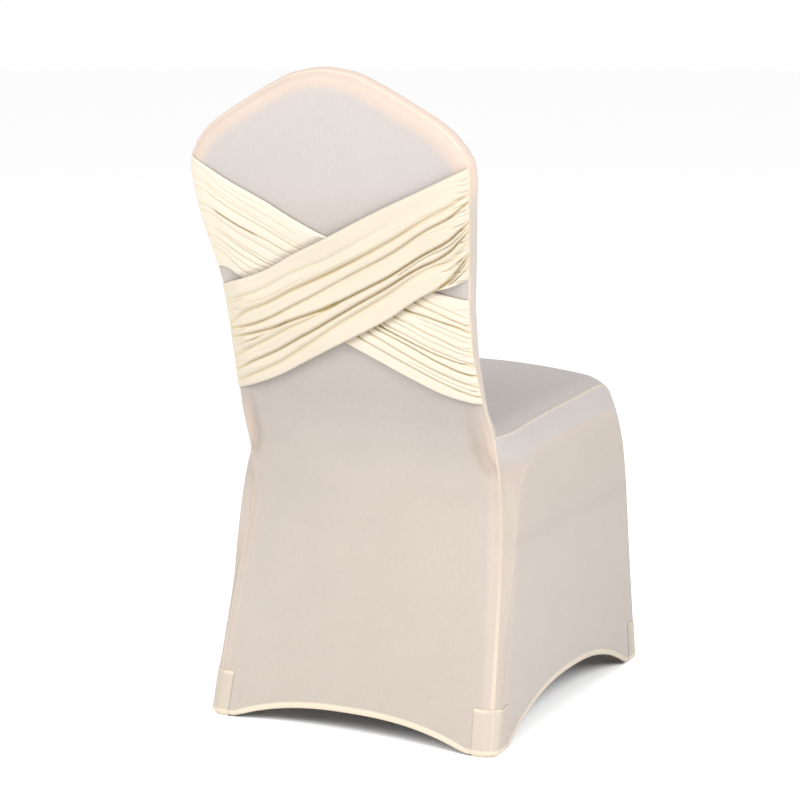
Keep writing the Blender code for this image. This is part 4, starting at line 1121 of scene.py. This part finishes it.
# Creases along each band. A row has the stretch that the crease covers, its depth at the
# left end, in the middle and at the right end as a share of the fold height, how far its
# slopes reach above and below it, and its place across the band at each station from left
# (p100) to right (n100). Reaches and places are shares of the band's width. A row ends
# where its place no longer changes.
STATIONS = {"n100": -1.0, "n90": -0.9, "n75": -0.75, "n50": -0.5, "n25": -0.25, "p0": 0.0,
            "p25": 0.25, "p50": 0.5, "p75": 0.75, "p100": 1.0}
CREASE_COLUMNS = "start end left middle right above below p100 p75 p50 p25 p0 n25 n50 n75 n90 n100"
OVER_CREASES = table(
    CREASE_COLUMNS,
    (1.0, -0.45, 0.40, 0.28, 0.00, 0.050, 0.035, .155, .157, .146, .165, .180, .176, .172, .165, .160, .155),
    (1.0, 0.83, 0.35, 0.00, 0.00, 0.018, 0.018, .200, .180),
    (1.0, 0.88, 0.40, 0.00, 0.00, 0.016, 0.016, .262, .258),
    (0.75, 0.25, 0.14, 0.14, 0.00, 0.020, 0.020, .240, .238, .245, .252),
    (1.0, -1.0, 0.50, 0.85, 0.50, 0.065, 0.034, .385, .302, .295, .312, .320, .321, .319, .287, .264, .215),
    (1.0, -1.0, 0.80, 0.50, 0.75, 0.034, 0.030, .418, .441, .437, .446, .436, .430, .431, .391, .360, .282),
    (1.0, 0.86, 0.40, 0.00, 0.00, 0.016, 0.016, .468, .462),
    (1.0, -1.0, 0.70, 0.95, 0.90, 0.036, 0.026, .502, .521, .546, .589, .619, .621, .628, .606, .560, .470),
    (-0.55, -1.0, 0.00, 0.30, 0.45, 0.014, 0.014, .600, .600, .600, .600, .650, .660, .665, .637, .606, .508),
    (1.0, 0.88, 0.40, 0.00, 0.00, 0.014, 0.014, .548, .540),
    (1.0, 0.45, 0.30, 0.10, 0.00, 0.018, 0.018, .606, .574, .548),
    (1.0, 0.02, 0.50, 0.50, 0.00, 0.050, 0.045, .700, .640, .614, .632, .621),
    (1.0, 0.90, 0.30, 0.00, 0.00, 0.016, 0.016, .755, .745),
    (1.0, -1.0, 0.65, 0.90, 0.85, 0.040, 0.022, .832, .776, .760, .755, .736, .718, .715, .716, .664, .548),
    (1.0, -1.0, 0.55, 0.50, 0.40, 0.045, 0.060, .928, .891, .871, .846, .812, .786, .772, .762, .742, .650),
    (-0.87, -1.0, 0.00, 0.00, 0.40, 0.018, 0.018, .820, .820, .820, .820, .820, .820, .820, .830, .820, .738),
    (-0.76, -1.0, 0.00, 0.00, 0.95, 0.034, 0.036, 1.00, 1.00, 1.00, 1.00, 1.00, 1.00, 1.00, 1.00, .908, .765),
    (-0.86, -1.0, 0.00, 0.00, 0.75, 0.018, 0.018, .980, .980, .980, .980, .980, .980, .980, .980, .932, .806),
    (-0.90, -1.0, 0.00, 0.00, 0.60, 0.016, 0.016, .980, .980, .980, .980, .980, .980, .980, .980, .958, .874),
)
UNDER_CREASES = table(
    CREASE_COLUMNS,
    (1.0, 0.30, 0.28, 0.16, 0.00, 0.040, 0.030, .030, .112, .135, .140),
    (0.95, 0.60, 0.25, 0.00, 0.00, 0.020, 0.020, .185, .196, .205),
    (0.80, 0.15, 0.25, 0.25, 0.00, 0.020, 0.020, .215, .220, .236, .242),
    (1.0, 0.10, 0.35, 0.45, 0.00, 0.024, 0.022, .262, .280, .287, .290),
    (1.0, 0.15, 0.50, 0.45, 0.00, 0.022, 0.020, .415, .408, .400, .398),
    (0.84, 0.62, 0.55, 0.55, 0.00, 0.016, 0.016, .412, .410, .406),
    (1.0, 0.10, 0.30, 0.25, 0.00, 0.022, 0.022, .480, .492, .500, .505),
    (0.85, 0.10, 0.35, 0.35, 0.00, 0.016, 0.016, .590, .602, .618, .630, .640),
    (0.90, 0.10, 0.50, 0.50, 0.00, 0.018, 0.018, .615, .632, .657, .668, .675),
    (1.0, 0.45, 0.45, 0.35, 0.00, 0.022, 0.020, .705, .722, .724),
    (1.0, 0.40, 0.30, 0.30, 0.00, 0.018, 0.018, .770, .800, .805),
    (1.0, 0.55, 0.50, 0.30, 0.00, 0.024, 0.022, .808, .893, .900),
    (-0.45, -1.0, 0.00, 0.30, 0.40, 0.022, 0.020, .060, .060, .060, .060, .060, .080, .100, .117, .140, .180),
    (-0.40, -1.0, 0.00, 0.40, 0.60, 0.024, 0.022, .195, .195, .195, .195, .195, .195, .194, .192, .220, .252),
    (-0.30, -1.0, 0.00, 0.90, 0.75, 0.030, 0.020, .330, .330, .330, .330, .330, .345, .325, .270, .276, .312),
    (-0.60, -1.0, 0.00, 0.20, 0.40, 0.016, 0.016, .330, .330, .330, .330, .330, .330, .330, .317, .337, .362),
    (-0.65, -1.0, 0.00, 0.15, 0.30, 0.014, 0.014, .380, .380, .380, .380, .380, .380, .378, .366, .392, .420),
    (-0.20, -1.0, 0.00, 0.45, 0.55, 0.026, 0.022, .480, .480, .480, .480, .480, .470, .440, .435, .470, .500),
    (-0.45, -1.0, 0.00, 0.25, 0.35, 0.016, 0.016, .490, .490, .490, .490, .490, .490, .490, .492, .516, .542),
    (-0.10, -1.0, 0.00, 0.40, 0.45, 0.018, 0.018, .580, .580, .580, .580, .580, .575, .565, .566, .586, .606),
    (0.05, -1.0, 0.00, 0.95, 0.65, 0.022, 0.020, .630, .630, .630, .630, .630, .622, .617, .609, .620, .628),
    (0.05, -1.0, 0.00, 0.50, 0.90, 0.020, 0.020, .680, .680, .680, .680, .680, .672, .663, .681, .710, .722),
    (0.05, -1.0, 0.00, 0.50, 0.65, 0.028, 0.022, .740, .740, .740, .740, .745, .752, .770, .784, .812, .836),
    (-0.55, -1.0, 0.00, 0.20, 0.30, 0.016, 0.016, .820, .820, .820, .820, .820, .820, .820, .836, .860, .884),
    (0.05, -1.0, 0.00, 0.55, 0.60, 0.024, 0.022, .845, .845, .845, .845, .850, .862, .866, .880, .912, .930),
)

FOLD_HEIGHT = {"over": 0.0062, "under": 0.0044}
TROUGH_POWER = 2.0        # above 1 a crease is sharper at its bottom
TROUGH_ROUND = 0.003      # rounding at the bottom of a crease, as a share of the width
CREASE_FADE = 0.06        # distance over which a crease fades in past its stretch

# Fine short creases between the named ones: how many, and the ranges that they are drawn from
FINE_CREASES = {"over": 12, "under": 34}
FINE_DEPTH = (0.05, 0.14)
FINE_REACH = (0.010, 0.020)
FINE_LENGTH = (0.25, 0.9)
FINE_MARGIN, FINE_SLOPE = 0.04, 0.05

# Gathers at the left and the right end of a band
PLEATS = {"over": (15, 19), "under": (17, 19)}
PLEAT_DEPTH = (0.30, 0.70)
PLEAT_LEFT_SHARE = 0.15   # depth of the left end's gathers beside those of the right end
PLEAT_REACH = (0.010, 0.018)
PLEAT_LENGTH = (0.03, 0.13)
PLEAT_SHIFT, PLEAT_SLOPE, PLEAT_POWER = 0.3, 0.5, 0.7

# Gentle waves between the creases: how many, how high, and the ranges of their frequencies
SWELLS, SWELL_SHARE = 7, 0.05
SWELL_ACROSS, SWELL_ALONG, SWELL_PHASE = (5, 24), 3, 6.3

CROSSING_LIFT = 0.0050    # rise of the over band where it lies on the under band
CROSSING_HALF = 0.84      # it comes down again from here to the band's end
SLACK_LIFT, SLACK_REACH = 0.4, 0.07   # share of that rise left away from the under band
PRESSED, PRESSED_BLEND = 0.35, 0.010  # share left of the under band's folds beneath the other
TUCK_FROM, TUCK_BLEND, TUCK_KEPT = 0.970, 0.026, 0.30   # folds pulled flat into the seam
FLAT_FROM, FLAT_BLEND, FLAT_KEPT = 0.80, 0.16, 0.22     # the left end lies flatter
EDGE_ROLL = 0.022         # share of the width that rolls in along a free edge
EDGE_HEIGHT = 0.25        # share of the fold height left at that edge
EDGE_DROP, DROP_FROM, DROP_BLEND = 0.35, 0.002, 0.008   # past the under band the edge comes down
BAND_STEPS, BAND_ROWS = 190, 250
END_STEPS_CLOSER = 0.15   # how much closer the steps lie at a band's ends

# Painted shade: deeper, darker colour in the creases and gathers, and a painted shadow on the under band
# below the other's lower edge, darkest where its folds dive beneath it
CREASE_SHADE_POWER, PLEAT_SHADE, VALLEY_SHADE = 1.5, 0.5, 0.07
DIVE_SHADOW_REACH, EDGE_SHADOW_TINT, DIVE_SHADOW_TINT, DIVE_SHADE = 0.0085, 0.24, 0.95, 0.80

# Cream knit of the bands. The under band is in the cool colour, a lighter copy of the same cream that is
# painted light; the painted shade in the creases and below the over band's edge is in the peach one
BAND_KNIT = knit_finish("band_knit", sheer=(0.434, 0.386, 0.310), cool=(0.468, 0.420, 0.346),
                        peach=(0.368, 0.278, 0.112), double=(0.434, 0.386, 0.310),
                        fleck_depth=0.06)


def on_back(across, z):
    """Points and normals of the back panel at a place across and at several heights."""
    back, normals = cut["back_panel"]
    c = np.interp(across * CROWN_HALF, COLUMNS, np.arange(len(COLUMNS)))
    low = int(min(c, len(COLUMNS) - 2))
    line = back[:, low] * (low + 1 - c) + back[:, low + 1] * (c - low)
    lean = normals[:, low] * (low + 1 - c) + normals[:, low + 1] * (c - low)
    found = [np.stack([np.interp(z, line[:, 2], part[:, i]) for i in range(3)], axis=-1)
             for part in (line, lean)]
    return found[0], unit(found[1])


def trough(distance, above, below):
    """Depth of a crease at a distance below its line, 1 at the line and 0 past its reach."""
    apart = np.hypot(distance, TROUGH_ROUND) - TROUGH_ROUND
    return np.clip(1 - apart / np.where(distance < 0, above, below), 0, 1) ** TROUGH_POWER


def named_creases(w, steps, rows):
    """Summed depth of a table's creases over a band."""
    across = np.array(sorted(STATIONS.values()))
    names = sorted(STATIONS, key=STATIONS.get)
    total = np.zeros((len(w), len(steps)))
    for k in range(len(rows["start"])):
        places_across = np.array([rows[name][k] for name in names])
        line = curve({"at": across, "place": places_across}, "at", "place", steps)
        depth = np.interp(steps, (-1, 0, 1), [rows[name][k] for name in ("right", "middle", "left")])
        depth = depth * smoothstep((rows["start"][k] - steps) / CREASE_FADE + 1)
        depth = depth * smoothstep((steps - rows["end"][k]) / CREASE_FADE + 1)
        total += depth * trough(w[:, None] - line, rows["above"][k], rows["below"][k])
    return total


def small_creases(w, steps, count, draw):
    """Summed depth of fine short creases scattered over a band."""
    total = np.zeros((len(w), len(steps)))
    for _ in range(count):
        middle, place = draw.uniform(-1, 1), draw.uniform(FINE_MARGIN, 1 - FINE_MARGIN)
        slope, half = draw.uniform(-FINE_SLOPE, FINE_SLOPE), draw.uniform(*FINE_LENGTH) / 2
        depth, reach = draw.uniform(*FINE_DEPTH), draw.uniform(*FINE_REACH)
        line = place + slope * (steps - middle)
        fade = np.clip(1 - ((steps - middle) / half) ** 2, 0, 1)
        total += depth * fade * trough(w[:, None] - line, reach, reach)
    return total


def end_pleats(w, steps, counts, draw):
    """Summed depth of the short gathers that fan out from each end of a band."""
    total = np.zeros((len(w), len(steps)))
    for side, count in zip((1, -1), counts):
        for k in range(count):
            place = (k + 0.5 + draw.uniform(-PLEAT_SHIFT, PLEAT_SHIFT)) / count
            slope, length = draw.uniform(-PLEAT_SLOPE, PLEAT_SLOPE), draw.uniform(*PLEAT_LENGTH)
            depth, reach = draw.uniform(*PLEAT_DEPTH), draw.uniform(*PLEAT_REACH)
            inward = 1 - side * steps
            fade = np.clip(1 - inward / length, 0, 1) ** PLEAT_POWER
            share = PLEAT_LEFT_SHARE if side == 1 else 1.0
            away = w[:, None] - place - slope * inward
            total += share * depth * fade * trough(away, reach, reach)
    return total


def gentle_swell(w, steps, draw):
    """Sum of gentle waves over a band."""
    total = np.zeros((len(w), len(steps)))
    for _ in range(SWELLS):
        across = draw.uniform(*SWELL_ACROSS) * w[:, None]
        along = draw.uniform(-SWELL_ALONG, SWELL_ALONG) * steps
        total += np.sin(across + along + draw.uniform(0, SWELL_PHASE))
    return SWELL_SHARE * total


def band_skins(key, edges, other_edges, rows, seed):
    """Outer and inner points of a gathered band on the back panel, and its masks."""
    draw = np.random.default_rng(seed)
    t = np.linspace(-1, 1, BAND_STEPS + 1)
    steps = BAND_END * ((1 + END_STEPS_CLOSER) * t - END_STEPS_CLOSER * t ** 3)
    w = np.linspace(0, 1, BAND_ROWS + 1)
    long_creases = named_creases(w, steps, rows)
    pleats = end_pleats(w, steps, PLEATS[key], draw)
    fine = small_creases(w, steps, FINE_CREASES[key], draw)
    full = np.clip(1 - long_creases - pleats - fine + gentle_swell(w, steps, draw), 0, None)
    rolled = 1 - np.clip(1 - np.minimum(w, 1 - w) / EDGE_ROLL, 0, 1)[:, None] ** 2
    tucked = 1 - (1 - TUCK_KEPT) * smoothstep((np.abs(steps) - TUCK_FROM) / TUCK_BLEND)
    tucked = np.minimum(tucked, 1 - (1 - FLAT_KEPT) * smoothstep((steps - FLAT_FROM) / FLAT_BLEND))
    height = FOLD_HEIGHT[key] * full * tucked * (EDGE_HEIGHT + (1 - EDGE_HEIGHT) * rolled)
    upper, lower = curve(edges, "across", "upper", steps), curve(edges, "across", "lower", steps)
    z = upper + (lower - upper) * w[:, None]
    other_upper = curve(other_edges, "across", "upper", steps)
    other_lower = curve(other_edges, "across", "lower", steps)
    beyond = np.maximum(np.maximum(z - other_upper, other_lower - z), 0)
    if key == "over":
        crossing = 1 - smoothstep((np.abs(steps) - CROSSING_HALF) / (BAND_END - CROSSING_HALF))
        kept = 1 - (1 - SLACK_LIFT) * smoothstep(beyond / SLACK_REACH)
        dropped = 1 - EDGE_DROP * (1 - rolled) * smoothstep((beyond - DROP_FROM) / DROP_BLEND)
        lift = BAND_LIFT + height + CROSSING_LIFT * crossing * kept * dropped
        edge_shadow = 0.0
    else:
        lift = BAND_LIFT + height * (PRESSED + (1 - PRESSED) * smoothstep(beyond / PRESSED_BLEND))
        edge_shadow = np.exp(-(np.maximum(other_lower - z, 0) / DIVE_SHADOW_REACH) ** 2) * (z < other_lower)
    outer, inner = np.empty(z.shape + (3,)), np.empty(z.shape + (3,))
    for c, across in enumerate(steps):
        point, normal = on_back(across, z[:, c])
        inner[:, c] = point + normal * lift[:, c, None]
        outer[:, c] = point + normal * (lift[:, c, None] + BAND_CLOTH)
    # Painted shade in the creases and gathers, and a painted shadow on the under band below the over band's
    # edge
    tint = np.clip(long_creases ** CREASE_SHADE_POWER + PLEAT_SHADE * pleats ** 2 + fine, 0, 1)
    dive_shadow = edge_shadow * np.clip(long_creases, 0, 1)
    tint = np.clip(tint + DIVE_SHADOW_TINT * dive_shadow + EDGE_SHADOW_TINT * edge_shadow, 0, 1)
    # The under band in a lighter copy of the cream, which is painted light
    return outer, inner, {"peach": tint, "cool": float(key == "under"), "double": 0.0,
                          "shade": VALLEY_SHADE * tint + DIVE_SHADE * dive_shadow}


for key, edges, other_edges, rows, seed in (
        ("under", UNDER_BAND, OVER_BAND, UNDER_CREASES, 5),
        ("over", OVER_BAND, UNDER_BAND, OVER_CREASES, 8)):
    outer, inner, masks = band_skins(key, edges, other_edges, rows, seed)
    piece = cloth_object("gathered_band_" + key, outer, inner, masks)
    finish_piece(piece, "band_" + key, BAND_KNIT)

# Studio
# A plain pale floor, a white surround and two soft lights above the camera, the stronger
# one on its right. The camera stands behind the cover's right side, a little over its top.
FLOOR_RADIUS, FLOOR_SIDES = 60.0, 96
FLOOR_COLOUR, FLOOR_ROUGHNESS = (0.97, 0.97, 0.97, 1), 0.8
LIGHT_AIM = (0, 0, 0.5)
CAMERA_PLACE = (-1.3964, 2.8359, 0.9918)
CAMERA_TURN, CAMERA_DOWN = 206.85, 9.70
CAMERA_LENS, CAMERA_SENSOR = 96.03, 36.0

floor_mesh = bpy.data.meshes.new("floor")
turns = np.linspace(0, 2 * math.pi, FLOOR_SIDES + 1)[:-1]
edge = [(FLOOR_RADIUS * math.cos(turn), FLOOR_RADIUS * math.sin(turn), 0) for turn in turns]
floor_mesh.from_pydata(edge, [], [list(range(FLOOR_SIDES))])
floor = bpy.data.objects.new("floor", floor_mesh)
bpy.context.scene.collection.objects.link(floor)
pale = bpy.data.materials.new("pale_floor")
pale.use_nodes = True
pale.node_tree.nodes["Principled BSDF"].inputs["Base Color"].default_value = FLOOR_COLOUR
pale.node_tree.nodes["Principled BSDF"].inputs["Roughness"].default_value = FLOOR_ROUGHNESS
floor_mesh.materials.append(pale)

world = bpy.data.worlds.new("white_surround")
world.use_nodes = True
world.node_tree.nodes["Background"].inputs["Color"].default_value = (1, 1, 1, 1)
world.node_tree.nodes["Background"].inputs["Strength"].default_value = 1.0
bpy.context.scene.world = world

for light_name, place, size, power in (("key_light", (-3.3, 2.4, 3.0), 1.9, 236.0),
                                       ("fill_light", (2.2, 3.1, 2.6), 1.8, 118.0)):
    light = bpy.data.lights.new(light_name, "AREA")
    light.size = size
    light.energy = power
    lamp = bpy.data.objects.new(light_name, light)
    lamp.location = place
    lamp.rotation_euler = (Vector(LIGHT_AIM) - Vector(place)).to_track_quat("-Z", "Y").to_euler()
    bpy.context.scene.collection.objects.link(lamp)

lens = bpy.data.cameras.new("camera")
lens.sensor_width = CAMERA_SENSOR
lens.lens = CAMERA_LENS
camera = bpy.data.objects.new("camera", lens)
camera.location = CAMERA_PLACE
camera.rotation_euler = (math.pi / 2 - math.radians(CAMERA_DOWN), 0, math.radians(CAMERA_TURN))
bpy.context.scene.collection.objects.link(camera)
bpy.context.scene.camera = camera
bpy.context.scene.view_settings.view_transform = "Standard"
